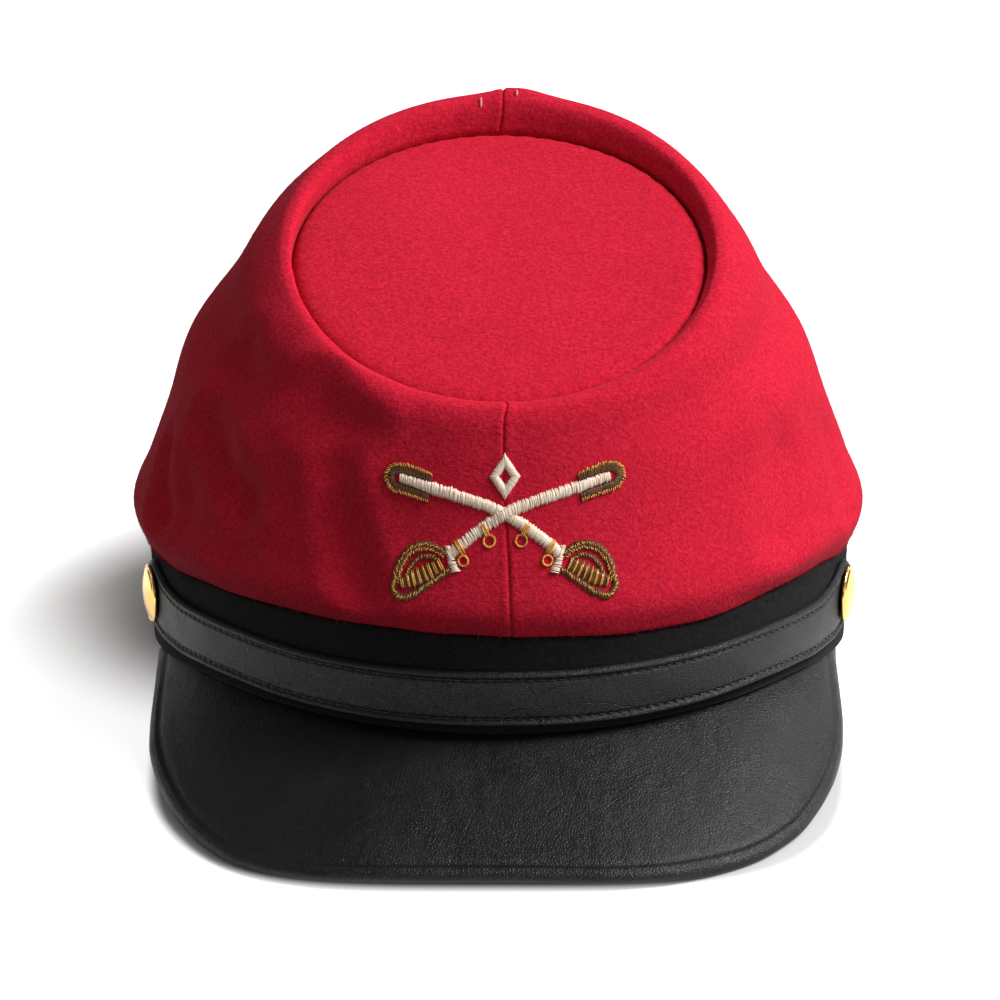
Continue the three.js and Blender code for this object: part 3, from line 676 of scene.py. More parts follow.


# painted shadow on the floor: one mask dims the glow tightly around the cap's footprint, the other dims it softly to
# the left and behind
painted_contact_shadow = floor_mat.remap(oval(0.0, 0.0, 0.0845, 0.1190, 4.0), 0.955, 1.0)
painted_side_shadow = floor_mat.remap(oval(-0.020, 0.070, 0.100, 0.100, 2.0), 0.72, 1.18)
floor_mat.link(floor_mat.ramp(floor_mat.noise(8, 2), [(0.3, (0.60, 0.60, 0.60)), (0.7, (0.61, 0.61, 0.61))]), floor_mat.b.inputs["Base Color"])
# the floor glows 0.02 inside the painted shadow and 0.86 outside it
floor_mat.link(floor_mat.math("MULTIPLY_ADD", floor_mat.math("MULTIPLY", painted_contact_shadow, painted_side_shadow), 0.84, 0.02), floor_mat.b.inputs["Emission Strength"])
floor_mat.set(Roughness=0.9, Specular_IOR_Level=0.2, Emission_Color=(1, 1, 1, 1))
floor.data.materials.append(floor_mat.m)
floor.visible_diffuse = False
floor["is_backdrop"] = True


# ---------------------------------------------------------------------------------------------------------------------
# Crown
# ---------------------------------------------------------------------------------------------------------------------
def merged(*parts):
    v = np.unique(np.round(np.concatenate(parts), 6))
    keep = [v[0]]
    for x in v[1:]:
        if x - keep[-1] > 0.0012:
            keep.append(x)
    return np.array(keep)


PHI = merged(np.linspace(-math.pi, math.pi, 371)[:-1], np.linspace(-0.006, 0.052, 34), np.linspace(-math.pi, -math.pi + 0.03, 16), np.linspace(math.pi - 0.03, math.pi - 0.002, 15))
AT_OUT = np.concatenate([np.linspace(0, 0.05, 9), np.linspace(0.06, 0.74, 62), np.linspace(0.75, 1.0, 46)])
AT_IN = np.linspace(0.80, 0.0, 26)

pp, aa = np.meshgrid(PHI, AT_OUT, indexing="ij")
OUT_P, OUT_N = crown_surface(pp, aa)
seam_slope = math.atan2(float(CROWN["backZ"](1.0) - CROWN["frontZ"](1.0)), float(CROWN["backY"](1.0) - CROWN["frontY"](1.0)))
foot = crown_point(PHI, np.ones_like(PHI))
under = []
for depth, inset in ((0.9, 0.0), (FELT, 0.0)):
    q = foot.copy()
    q[:, 1] += math.sin(seam_slope) * depth
    q[:, 2] -= math.cos(seam_slope) * depth
    under.append(q)
pi_, ai_ = np.meshgrid(PHI, AT_IN, indexing="ij")
inner = crown_point(pi_, ai_) - crown_normal(pi_, np.maximum(ai_, 0.02)) * FELT
inner[:, -1, 2] = OUT_P[:, 0, 2]
profile = np.concatenate([OUT_P, np.stack(under, 1), inner], 1)
nu, nv = profile.shape[:2]
crown = solid("crown_felt", profile.reshape(-1, 3), [grid_faces(nu, nv, True, True)])
dress(crown, RED_FELT, "crown_felt", "crown_left", "crown_right")

# ---------------------------------------------------------------------------------------------------------------------
# Sunken round top
# ---------------------------------------------------------------------------------------------------------------------
DISC_PHI = np.linspace(-math.pi, math.pi, 361)[:-1]
disc_edge = crown_point(DISC_PHI, np.ones_like(DISC_PHI))
disc_mid = (crown_point(0.0, 1.0) + crown_point(math.pi, 1.0)) / 2
disc_normal = unit(np.array([0.0, -(float(CROWN["backZ"](1.0)) - float(CROWN["frontZ"](1.0))), float(CROWN["backY"](1.0)) - float(CROWN["frontY"](1.0))]))
_d = np.random.default_rng(5)
DISC_SWELLS = [(_d.uniform(-40, 40), _d.uniform(-40, 40), _d.normal(0, 0.16), _d.uniform(9, 20)) for _ in range(26)]


def disc_point(phi_i, share, drop):
    """phi_i: indices into DISC_PHI; share 0 middle to 1 edge."""
    rel = disc_edge[phi_i] - disc_mid
    length = np.linalg.norm(rel, axis=-1, keepdims=True)
    s = share[..., None] if np.ndim(share) else share
    p = rel * s * (1 - 0.12 / length)
    rise = DISC_CROWNING * (1 - s**2) * (1 - 0.008 * p[..., :1]) - 0.8 * np.exp(-(((1 - s) * length / 2.4) ** 1.6)) - 1.5 * np.exp(-(((1 - s) * length / 0.8) ** 1.5))
    ripple = 0.12 * np.exp(-(((1 - s) * length / 3.0) ** 2)) * np.sin(DISC_PHI[phi_i] * 61 + 1.3 * np.sin(DISC_PHI[phi_i] * 7))[..., None]
    for x0, y0, h, w in DISC_SWELLS:
        rise = rise + h * np.exp(-(((p[..., :1] - x0) / w) ** 2) - ((p[..., 1:2] - y0) / w) ** 2) * (1 - s**6)
    return disc_mid + p + disc_normal * (rise + ripple - drop)


shares = np.concatenate([[1.0, 0.997, 0.994, 0.991, 0.985, 0.978, 0.97, 0.96, 0.95, 0.935], np.linspace(0.92, 0.02, 52)])
idx = np.arange(len(DISC_PHI))
top_rings = [disc_point(idx, np.full(len(idx), s), 0.0) for s in shares]
bottom_rings = [disc_point(idx, np.full(len(idx), s), FELT) for s in (0.02, 0.3, 0.6, 0.9, 0.985)]
bottom_rings = [disc_mid + (r - disc_mid) for r in bottom_rings]
stack = np.stack(top_rings + bottom_rings, 1)
nu2, nv2 = stack.shape[:2]
dverts = stack.reshape(-1, 3)
mid_top = len(dverts)
dverts = np.concatenate([dverts, [stack[:, len(shares) - 1].mean(0)], [stack[:, len(shares)].mean(0)]])
faces = grid_faces(nu2, nv2, True, True)
# the grid's span between the two middles is left out and closed by two fans
a_col, b_col = len(shares) - 1, len(shares)
keep = ~np.all(np.isin(faces % nv2, [a_col, b_col]), axis=1)
faces = faces[keep]
i2 = (idx + 1) % nu2
fan_top = np.stack([idx * nv2 + a_col, i2 * nv2 + a_col, np.full(nu2, mid_top)], -1)
fan_bot = np.stack([i2 * nv2 + b_col, idx * nv2 + b_col, np.full(nu2, mid_top + 1)], -1)
top = solid("top_felt", dverts, [faces, fan_top, fan_bot])
dress(top, RED_FELT, "crown_felt", "top_disc")

# ---------------------------------------------------------------------------------------------------------------------
# Band
# ---------------------------------------------------------------------------------------------------------------------
BAND_PHI = np.linspace(-math.pi, math.pi, 481)[:-1]
bh = band_height(BAND_PHI)


def band_ring(out, share=None, above=None):
    h = bh * share if above is None else above
    wob = 0.10 * np.sin(BAND_PHI * 9 + 1) + 0.07 * np.sin(BAND_PHI * 17 + 2.2)
    return by_rim(BAND_PHI, out + wob * (1 if out > -1 else 0), h)


rings = [band_ring(-0.9, above=0.0 * bh), band_ring(-0.35, above=0.12 + 0 * bh), band_ring(-0.05, above=0.6 + 0 * bh)]
rings += [band_ring(0.0, share=s) for s in np.linspace(0.06, 0.93, 16)]
rings += [band_ring(-0.05, above=bh - 0.8), band_ring(-0.3, above=bh - 0.25), band_ring(-0.9, above=bh), band_ring(-BAND_WALL, above=bh + 0.55)]  # its inside stands up behind the crown's edge
rings += [band_ring(-BAND_WALL, share=s) for s in (0.75, 0.5, 0.25)] + [band_ring(-BAND_WALL, above=0.0 * bh)]
bstack = np.stack(rings, 1)
band = solid("band_felt", bstack.reshape(-1, 3), [grid_faces(*bstack.shape[:2], True, True)])
dress(band, BLACK_FELT, "band_cloth", "band")

# ---------------------------------------------------------------------------------------------------------------------
# Peak
# ---------------------------------------------------------------------------------------------------------------------
PEAK_DEG = np.linspace(-PEAK_HALF_ANGLE, PEAK_HALF_ANGLE, 341)
pphi = np.radians(PEAK_DEG)
peak_inner = by_rim(pphi, -PEAK_TUCK, -GAP + 0.1)
peak_outer = np.stack([PEAKX(PEAK_DEG), PEAKY(PEAK_DEG), PEAKZ(PEAK_DEG) + PEAK_THICKNESS], -1)
pdepth = np.hypot(*(peak_outer - peak_inner)[:, :2].T)
R_EDGE = PEAK_THICKNESS / 2


def peak_top(share, drop, bulge=1.0):
    p = peak_inner + (peak_outer - peak_inner) * np.asarray(share)[:, None]
    s = np.asarray(share)
    dist = (1 - s) * pdepth  # from the outer edge
    lift = PEAK_CROWNING * np.minimum(1, pdepth / 30) * 4 * s * (1 - s) * 0.75
    fade = np.minimum(1, pdepth / 10)
    bead = fade * (0.26 * np.exp(-(((dist - 1.7) / 0.7) ** 2)) - 0.30 * np.exp(-(((dist - 3.3) / 0.7) ** 2)))
    waves = fade * 0.12 * (np.sin(p[:, 0] / 9 + p[:, 1] / 15) + 0.6 * np.sin(p[:, 0] / 5.3 - p[:, 1] / 11 + 1)) * np.clip(dist / 8, 0, 1) * np.clip(s * 4, 0, 1)
    q = p.copy()
    q[:, 2] += lift + (bead + waves) * bulge - drop
    return q


s_edge = 1 - np.minimum(0.6, R_EDGE / pdepth)
prof = []
for k in np.concatenate([np.linspace(0, 0.9, 52), np.linspace(0.91, 1.0, 18)]):
    prof.append(peak_top(s_edge * k, 0.0))
outdir = unit(peak_outer - peak_inner)
last = prof[-1]
for th in np.linspace(0, math.pi, 15)[1:]:
    q = last + outdir * (R_EDGE * math.sin(th)) * np.minimum(1, (1 - s_edge)[:, None] * pdepth[:, None] / R_EDGE)
    q[:, 2] += R_EDGE * math.cos(th) - R_EDGE
    prof.append(q)
for k in np.linspace(1.0, 0.0, 24)[1:]:
    prof.append(peak_top(s_edge * k, PEAK_THICKNESS, 0.3))
pstack = np.stack(prof, 1)
pstack[..., 2] = np.maximum(pstack[..., 2], 0.02)
nup, nvp = pstack.shape[:2]
pverts = pstack.reshape(-1, 3)
cap_a, cap_b = len(pverts), len(pverts) + 1
pverts = np.concatenate([pverts, [pstack[0].mean(0)], [pstack[-1].mean(0)]])
j = np.arange(nvp)
j2 = (j + 1) % nvp
fan_a = np.stack([j, j2, np.full(nvp, cap_a)], -1)
fan_b = np.stack([(nup - 1) * nvp + j2, (nup - 1) * nvp + j, np.full(nvp, cap_b)], -1)
peak = solid("peak_leather", pverts, [grid_faces(nup, nvp, False, True), fan_a, fan_b])
dress(peak, PEAK_LEATHER, "peak_leather", "peak")

# ---------------------------------------------------------------------------------------------------------------------
# Strap: rings run round its outline, each further in from the edge, so its turned edge follows the round ends
# ---------------------------------------------------------------------------------------------------------------------
arc_phi = np.linspace(-math.radians(92), math.radians(92), 4001)
arc_xy = by_rim(arc_phi, GAP, 0)[:, :2]
arc_len = np.concatenate([[0], np.cumsum(np.linalg.norm(np.diff(arc_xy, axis=0), axis=1))])
arc_len -= np.interp(0.0, arc_phi, arc_len)
STRAP_END = float(np.interp(math.radians(STRAP_END_ANGLE), arc_phi, arc_len))
HALF_END = float(STRAP_HALF(STRAP_END_ANGLE))


def strap_place(s, v, h):
    """s along the strap from the middle, v up across it, h out from the band's face."""
    phi = np.interp(s, arc_len, arc_phi)
    base = by_rim(phi, 0, STRAP_HEIGHT(np.abs(np.degrees(phi))) + v - rim_height(phi))
    n = rim_normal(phi)
    return base + n * (np.asarray(h) + GAP - 0.15)[..., None]


def strap_height(d, s, v):
    """Thickness at a distance d in from the edge."""
    edge = np.sqrt(np.maximum(0, 1 - (1 - np.clip(d / 0.75, 0, 1)) ** 2))
    t = 0.35 + 1.05 * edge
    t += 0.32 * np.exp(-(((d - 0.82) / 0.5) ** 2))
    t -= 0.50 * np.exp(-(((d - 1.95) / 0.38) ** 2))
    t += 0.14 * np.clip((d - 2.2) / 3, 0, 1)
    pull = np.exp(-(((d - 1.95) / 0.7) ** 2)) * 0.10 * np.sin(s * 2 * math.pi / 2.35)
    wave = 0.07 * np.sin(s / 6.1 + 0.8 * np.sin(s / 17)) * np.clip((d - 2.2) / 2, 0, 1) + 0.05 * np.sin(s / 3.1 + v / 2.0 + 1)
    return t + pull + wave * np.clip((d - 2.0) / 1.5, 0, 1)


N_SIDE, N_END = 560, 26
s_line = np.linspace(-STRAP_END, STRAP_END, N_SIDE)
th = np.linspace(-math.pi / 2, math.pi / 2, N_END + 2)[1:-1]


half_line = STRAP_HALF(np.abs(np.degrees(np.interp(s_line, arc_len, arc_phi))))


def outline(d):
    r = HALF_END - d
    top_ = np.stack([s_line[::-1], (half_line - d)[::-1]], -1)
    left_ = np.stack([-STRAP_END - r * np.cos(th), r * np.sin(th)], -1)[::-1]
    bot_ = np.stack([s_line, d - half_line], -1)
    right_ = np.stack([STRAP_END + r * np.cos(th), r * np.sin(th)], -1)
    return np.concatenate([bot_, right_, top_, left_])


strap_rings = []
for h in (0.0,):
    o2 = outline(0.25)
    strap_rings.append(strap_place(o2[:, 0], o2[:, 1], np.full(len(o2), h)))
o2 = outline(0.0)
strap_rings.append(strap_place(o2[:, 0], o2[:, 1], np.full(len(o2), 0.25)))
for d in (0.0, 0.04, 0.1, 0.2, 0.35, 0.55, 0.8, 1.05, 1.3, 1.5, 1.65, 1.8, 1.95, 2.1, 2.25, 2.4, 2.6, 2.9, 3.4, 4.0, 4.7, 5.4, 6.0, 6.3):
    o2 = outline(d)
    strap_rings.append(strap_place(o2[:, 0], o2[:, 1], strap_height(np.full(len(o2), d), o2[:, 0], o2[:, 1])))
for d in (6.3,):
    o2 = outline(d)
    back_mid = strap_place(o2[:, 0], o2[:, 1], np.zeros(len(o2)))
sstack = np.stack(strap_rings, 1)
nus, nvs = sstack.shape[:2]
sverts = np.concatenate([sstack.reshape(-1, 3), back_mid])
sf = [grid_faces(nus, nvs, True, False)]
k = np.arange(nus)
k2 = (k + 1) % nus
# close the narrow middle slit on the outside and the whole back
n1 = N_SIDE


def across(col, base=None):
    """Quads that join the bottom row to the top row across the middle."""
    bottom_i = np.arange(N_SIDE)
    top_i = N_SIDE + N_END + (N_SIDE - 1 - np.arange(N_SIDE))
    ix = (lambda q: q * nvs + col) if base is None else (lambda q: base + q)
    return np.stack([ix(bottom_i[:-1]), ix(bottom_i[1:]), ix(top_i[1:]), ix(top_i[:-1])], -1)


def end_fan(col, base=None):
    ix = (lambda q: q * nvs + col) if base is None else (lambda q: base + q)
    right = [N_SIDE - 1] + list(range(N_SIDE, N_SIDE + N_END)) + [N_SIDE + N_END]
    left = [2 * N_SIDE + N_END - 1] + list(range(2 * N_SIDE + N_END, 2 * N_SIDE + 2 * N_END)) + [0]
    out = []
    for loop in (right, left):
        for i in range(1, len(loop) - 1):
            out.append([ix(loop[0]), ix(loop[i]), ix(loop[i + 1])])
    return np.array(out)


back_base = nus * nvs
sf += [across(nvs - 1), end_fan(nvs - 1)]
back_faces = [np.stack([k * nvs, back_base + k, back_base + k2, k2 * nvs], -1), across(0, back_base)[:, ::-1], end_fan(0, back_base)[:, ::-1]]
strap = solid("strap_leather", sverts, sf + back_faces)
dress(strap, STRAP_LEATHER, "strap_leather", "strap")

# stitches: short threads laid in the groove, one after another
PITCH, STITCH = 2.35, 1.75


def capsule_chain(name, centers, along, up, half_len, radius, mat_, slot_):
    """Many small elongated beads of thread."""
    n = len(centers)
    side = unit(np.cross(along, up))
    m_len, m_rad = 7, 8
    t = np.linspace(-1, 1, m_len)
    verts, faces_ = [], []
    ring_r = np.sqrt(np.maximum(0.02, 1 - np.abs(t) ** 3)) * radius
    ang = np.linspace(0, 2 * math.pi, m_rad + 1)[:-1]
    pts = (
        centers[:, None, None, :]
        + along[:, None, None, :] * (t * half_len)[None, :, None, None]
        + side[:, None, None, :] * (ring_r[:, None] * np.cos(ang)[None])[None, :, :, None]
        + up[:, None, None, :] * (ring_r[:, None] * np.sin(ang)[None] + (0.10 * (1 - t**2) - 0.05)[:, None])[None, :, :, None]
    )
    v = pts.reshape(-1, 3)
    per = m_len * m_rad
    base_f = grid_faces(m_len, m_rad, False, True)
    caps = np.stack([np.arange(m_rad), (np.arange(m_rad) + 1) % m_rad, np.full(m_rad, 0)], -1)[1:-1]
    caps_a = caps
    caps_b = caps[:, ::-1] + (m_len - 1) * m_rad
    allq = (base_f[None] + (np.arange(n) * per)[:, None, None]).reshape(-1, 4)
    allt = (np.concatenate([caps_a, caps_b])[None] + (np.arange(n) * per)[:, None, None]).reshape(-1, 3)
    o = solid(name, v, [allq, allt])
    return dress(o, mat_, slot_)


cs, av, ups = [], [], []
count = int((2 * STRAP_END - 2) / PITCH)
for row_side in (1, -1):
    ss = (np.arange(count) - (count - 1) / 2) * PITCH
    ss = ss + rng.normal(0, 0.05, count)
    vv_ = row_side * (np.interp(ss, s_line, half_line) - 1.95) + rng.normal(0, 0.04, count)
    hh = strap_height(np.full(count, 1.95), ss, vv_) + 0.10
    c0 = strap_place(ss, vv_, hh)
    c1 = strap_place(ss + 0.4, vv_ + rng.normal(0, 0.03, count), hh)
    cs.append(c0)
    av.append(unit(c1 - c0))
    phi_s = np.interp(ss, arc_len, arc_phi)
    ups.append(rim_normal(phi_s))
capsule_chain("strap_stitches", np.concatenate(cs), np.concatenate(av), np.concatenate(ups), STITCH / 2, 0.24, BLACK_THREAD, "strap_leather")


for mark, (off_seam, at_mark, half_mark) in {"left": (0.106, 0.945, 1.5), "right": (-0.067, 0.925, 1.1)}.items():
    m0, mn = crown_surface(np.array([BACK_SEAM + off_seam]), np.array([at_mark]))
    m1, _ = crown_surface(np.array([BACK_SEAM + off_seam]), np.array([at_mark + 0.01]))
    capsule_chain("seam_mark_" + mark, m0 + mn * 0.08, unit(m1 - m0), mn, half_mark, 0.30, SEAM_THREAD, "crown_felt")

# ---------------------------------------------------------------------------------------------------------------------
# Buttons
# ---------------------------------------------------------------------------------------------------------------------
def button(side_sign, name, node):
    phi = side_sign * math.radians(STRAP_END_ANGLE)
    c = by_rim(phi, 0, float(STRAP_HEIGHT(STRAP_END_ANGLE)) - rim_height(phi))
    n = rim_normal(np.array(phi))
    base, r = GAP + STRAP_THICKNESS + BUTTON_GAP, BUTTON_RADIUS
    sphere = (r * r + BUTTON_DOME**2) / (2 * BUTTON_DOME)
    prof_ = [(SHANK_RADIUS, -BAND_WALL), (SHANK_RADIUS, base - 0.2), (SHANK_RADIUS + 0.2, base), (r - 1.2, base - 0.15), (r - 0.5, base - 0.05)]
    for a in np.linspace(-90, 75, 12):  # rolled rim
        prof_.append((r - 0.42 + 0.42 * math.cos(math.radians(a)), base + 0.42 + 0.42 * math.sin(math.radians(a))))
    for x in np.linspace(r - 0.55, 0.05, 26):
        lift = base + BUTTON_RIM + BUTTON_DOME - sphere + math.sqrt(sphere**2 - x * x)
        groove = 0.22 * math.exp(-(((x - (r - 0.75)) / 0.28) ** 2))
        prof_.append((x, lift - groove))
    prof_ = np.array(prof_)
    a = np.linspace(0, 2 * math.pi, 97)[:-1]
    zax = np.array([0, 0, 1.0])
    e1 = unit(np.cross(zax, n))
    e2 = np.cross(n, e1)
    pts = c + (prof_[None, :, :1] * (np.cos(a)[:, None, None] * e1 + np.sin(a)[:, None, None] * e2)) + prof_[None, :, 1:] * n
    v = pts.reshape(-1, 3)
    nb, mb = pts.shape[:2]
    v = np.concatenate([v, [c + n * prof_[0, 1]], [c + n * prof_[-1, 1]]])
    i_, j_ = np.arange(nb), (np.arange(nb) + 1) % nb
    f1 = np.stack([i_ * mb, j_ * mb, np.full(nb, nb * mb)], -1)
    f2 = np.stack([j_ * mb + mb - 1, i_ * mb + mb - 1, np.full(nb, nb * mb + 1)], -1)
    gf = grid_faces(nb, mb, True, False)
    o = solid(name, v, [gf, f1[:, ::-1], f2[:, ::-1]])
    dress(o, GILT, "button_metal", node)


button(-1, "button_gilt_left", "button_left")
button(1, "button_gilt_right", "button_right")

# ---------------------------------------------------------------------------------------------------------------------
# Emblem: two crossed sabres and a plain lozenge, in separate laid threads. Coordinates are millimetres across (from the
# emblem's middle) and height above the table; "mirror" makes the second sabre.
# ---------------------------------------------------------------------------------------------------------------------
EMBLEM_X = 1.4
BLADE = [(23.4, 78.7), (17.0, 77.2), (8.9, 75.2), (1.7, 72.8), (-4.3, 69.5), (-9.6, 65.7), (-12.4, 63.4)]
CHAPE = [(16.6, 79.1), (19.8, 80.1), (22.8, 80.7), (25.2, 80.2), (25.9, 78.7), (25.0, 77.0), (22.4, 76.3), (19.6, 75.7), (17.2, 75.15)]
BOW = [(-13.4, 63.4), (-16.2, 64.8), (-19.4, 64.7), (-22.3, 62.6), (-23.8, 59.8), (-24.3, 57.2)]
BOW_IN = [(-14.9, 62.2), (-17.3, 62.9), (-19.4, 62.2), (-21.0, 60.6), (-22.0, 58.6)]
POMMEL = [(-24.3, 58.0), (-24.8, 55.6), (-23.4, 54.0), (-20.4, 54.8), (-17.4, 56.8), (-14.4, 58.9), (-12.6, 60.2)]
GRIP = [(-22.9, 56.9), (-20.0, 58.0), (-17.0, 59.5), (-14.4, 61.2)]
QUILLON = [(-12.9, 65.0), (-12.2, 62.6), (-11.0, 59.8)]
RINGS = [(-3.6, 66.4, 1.45), (-9.4, 62.2, 1.25)]
RING_BANDS = [(-4.6, 68.75), (-10.2, 65.0)]


def smooth_path(points, step):
    """Points every step along a smooth curve through the given points, with unit tangents."""
    p = np.array(points, float)
    t = np.concatenate([[0], np.cumsum(np.linalg.norm(np.diff(p, axis=0), axis=1))])
    m_ = np.gradient(p, t, axis=0)
    total = t[-1]
    n = max(2, int(total / step))
    q = np.linspace(0, total, n)
    i = np.clip(np.searchsorted(t, q, side="right") - 1, 0, len(t) - 2)
    h = (t[i + 1] - t[i])[:, None]
    u = ((q - t[i]) / (t[i + 1] - t[i]))[:, None]
    pts = p[i] * (2 * u**3 - 3 * u**2 + 1) + h * m_[i] * (u**3 - 2 * u**2 + u) + p[i + 1] * (3 * u**2 - 2 * u**3) + h * m_[i + 1] * (u**3 - u**2)
    tan = unit(np.gradient(pts, axis=0))
    return pts, tan


def on_crown(x, z):
    """The crown's outside point and normal at a place given by its x and its height, on the front."""
    lo, hi = np.zeros_like(x), np.full_like(x, 0.84)
    phi = np.arcsin(np.clip(x / 85, -1, 1))
    for _ in range(26):
        at = (lo + hi) / 2
        phi = np.arcsin(np.clip((x - CROWN["sway"](at)) / CROWN["halfWidth"](at), -1, 1))
        high = crown_point(phi, at)[..., 2] > z
        hi = np.where(high, at, hi)
        lo = np.where(high, lo, at)
    return crown_point(phi, at), crown_normal(phi, at)


def threads(name, a, b, base, arch, radius, material, jitter=0.08, sections=6, sides=6):
    """Laid stitches from a to b, (n, 2) each, all in one mesh. base: height of the ends over the felt; arch: extra in the middle."""
    n = len(a)
    a = a + rng.normal(0, jitter, a.shape)
    b = b + rng.normal(0, jitter, b.shape)
    base = np.broadcast_to(base, (n,)) + rng.normal(0, 0.02, n)
    arch = np.broadcast_to(arch, (n,))
    rad = radius * (1 + rng.normal(0, 0.07, n))
    t = np.linspace(0, 1, sections)
    pts2 = a[:, None] * (1 - t)[None, :, None] + b[:, None] * t[None, :, None]
    p, nrm = on_crown(EMBLEM_X + pts2[..., 0], pts2[..., 1])
    prof_ = np.sin(math.pi * t) ** 0.6
    p = p + nrm * (base[:, None] + arch[:, None] * prof_ - (t * (1 - t) < 1e-9) * 0.35)[..., None]
    tan = unit(np.gradient(p, axis=1))
    side = unit(np.cross(tan, nrm))
    up = np.cross(side, tan)
    ang = np.linspace(0, 2 * math.pi, sides + 1)[:-1]
    rr = rad[:, None] * np.where(t * (1 - t) < 1e-9, 0.75, 1.0)[None]
    ring = p[:, :, None] + rr[:, :, None, None] * (side[:, :, None] * np.cos(ang)[None, None, :, None] + up[:, :, None] * np.sin(ang)[None, None, :, None])
    per = sections * sides
    q = grid_faces(sections, sides, False, True)
    cap = np.stack([np.zeros(sides - 2, int), np.arange(1, sides - 1), np.arange(2, sides)], -1)
    caps_ = np.concatenate([cap, cap[:, ::-1] + (sections - 1) * sides])
    off = (np.arange(n) * per)[:, None, None]
    return ring.reshape(-1, 3), (q[None] + off).reshape(-1, 4), (caps_[None] + off).reshape(-1, 3)


def satin(points, width, step=0.27, skew=0.18):
    """End points of stitches laid across a path."""
    p, tan = smooth_path(points, step)
    nrm = np.stack([-tan[:, 1], tan[:, 0]], -1)
    w = np.interp(np.linspace(0, 1, len(p)), np.linspace(0, 1, len(np.atleast_1d(width))), np.atleast_1d(width)) if np.ndim(width) else np.full(len(p), width)
    return p + nrm * (w / 2)[:, None] + tan * skew, p - nrm * (w / 2)[:, None] - tan * skew


def aside(points, d):
    """The same path, moved sideways."""
    p, tan = smooth_path(points, 1.2)
    return p + np.stack([-tan[:, 1], tan[:, 0]], -1) * d


def flip(ab, sign):
    a, b = ab
    f = np.array([sign, 1.0])
    return a * f, b * f


emblem_parts = {"cream": [], "gold": [], "brown": []}


def lay(colour, ab, base, arch, radius, jitter=0.08):
    emblem_parts[colour].append(threads("", ab[0], ab[1], base, arch, radius, None, jitter))


for order, sign in ((0, -1.0), (1, 1.0)):
    over = 0.42 * order  # the second sabre lies over the first at the crossing
    a, b = flip(satin(BLADE, [2.0, 2.6, 2.6, 2.5, 2.5, 2.5, 2.4]), sign)
    mid = (a + b) / 2
    near_cross = np.exp(-((np.hypot(mid[:, 0], mid[:, 1] - 71.4) / 2.6) ** 2))
    base = 0.12 + over * near_cross
    emblem_parts["cream"].append(threads("", a, b, base, 0.42, 0.245, None, 0.10))
    # the chape at the blade's end: brown satin with a fine gold line lying along it
    lay("brown", flip(satin(CHAPE, [1.6, 2.2, 2.4, 2.4, 2.4, 2.4, 2.4, 2.2, 1.6]), sign), 0.10, 0.30, 0.19)
    lay("gold", flip(satin(aside(CHAPE, 0.8), 0.7, 0.42), sign), 0.46, 0.10, 0.13, 0.10)
    lay("brown", flip(satin(BOW, [1.6, 2.2, 2.3, 2.2, 2.1, 1.9]), sign), 0.10, 0.30, 0.18)
    lay("gold", flip(satin(aside(BOW, 0.62), 0.5, 0.46), sign), 0.40, 0.10, 0.13, 0.12)
    lay("gold", flip(satin(aside(BOW, -0.25), 0.45, 0.5), sign), 0.44, 0.10, 0.12, 0.12)
    lay("brown", flip(satin(BOW_IN, [1.0, 1.2, 1.2, 1.0]), sign), 0.10, 0.24, 0.16)
    lay("gold", flip(satin(BOW_IN, 0.45, 0.6), sign), 0.38, 0.08, 0.12, 0.12)
    lay("brown", flip(satin(GRIP, [2.8, 3.8, 4.0, 3.4], 0.27), sign), 0.12, 0.44, 0.16)
    ga, gb = flip(satin(GRIP, [2.4, 3.7, 3.9, 3.2], 1.15), sign)
    for shift in (-0.14, 0.14):
        d = np.array([shift, shift * 0.5])
        lay("gold", (ga + d, gb + d), 0.30, 0.46, 0.14, 0.06)
    lay("brown", flip(satin(POMMEL, [1.6, 1.9, 1.9, 1.7, 1.6]), sign), 0.10, 0.32, 0.16)
    lay("gold", flip(satin(POMMEL, 0.55, 0.42), sign), 0.48, 0.10, 0.13, 0.14)
    lay("cream", flip(satin(QUILLON, [1.3, 1.7, 2.2]), sign), 0.16, 0.36, 0.17)
    for (rx, rz), ang in zip(RING_BANDS, (0.5, 0.6)):
        ux, uz = math.cos(ang), math.sin(ang)
        for s_ in (-0.36, 0.0, 0.36):
            c = np.array([[rx + ux * s_, rz + uz * s_]])
            nv_ = np.array([[-uz, ux]])
            lay("gold", flip((c + nv_ * 1.65, c - nv_ * 1.75), sign), 0.30, 0.50, 0.18, 0.03)
    for rx, rz, rr_ in RINGS:
        ang = np.linspace(0, 2 * math.pi, 23)[:-1]
        e = np.stack([np.cos(ang), np.sin(ang)], -1)
        c = np.array([[rx, rz]])
        tw = np.stack([-np.sin(ang), np.cos(ang)], -1) * 0.22
        lay("gold", flip((c + e * (rr_ + 0.02) + tw, c + e * (rr_ - 0.40) - tw), sign), 0.12, 0.24, 0.15, 0.03)

# plain lozenge, an open diamond of radial stitches
ang = np.linspace(0, 2 * math.pi, 97)[:-1]
den = np.abs(np.cos(ang)) / 3.5 + np.abs(np.sin(ang)) / 5.0
rad_l = 1 / den
e = np.stack([np.cos(ang), np.sin(ang)], -1)
c = np.array([[-0.05, 79.9]])
lay("cream", (c + e * rad_l[:, None], c + e * (rad_l * 0.36)[:, None]), 0.14, 0.36, 0.17, 0.06)

for colour, material in (("cream", CREAM_THREAD), ("gold", GOLD_THREAD), ("brown", BROWN_THREAD)):
    vs, qs, ts, off = [], [], [], 0
    for v, q, t in emblem_parts[colour]:
        vs.append(v)
        qs.append(q + off)
        ts.append(t + off)
        off += len(v)
    o = solid("emblem_" + colour, np.concatenate(vs), [np.concatenate(qs), np.concatenate(ts)])
    dress(o, material, "crown_felt")


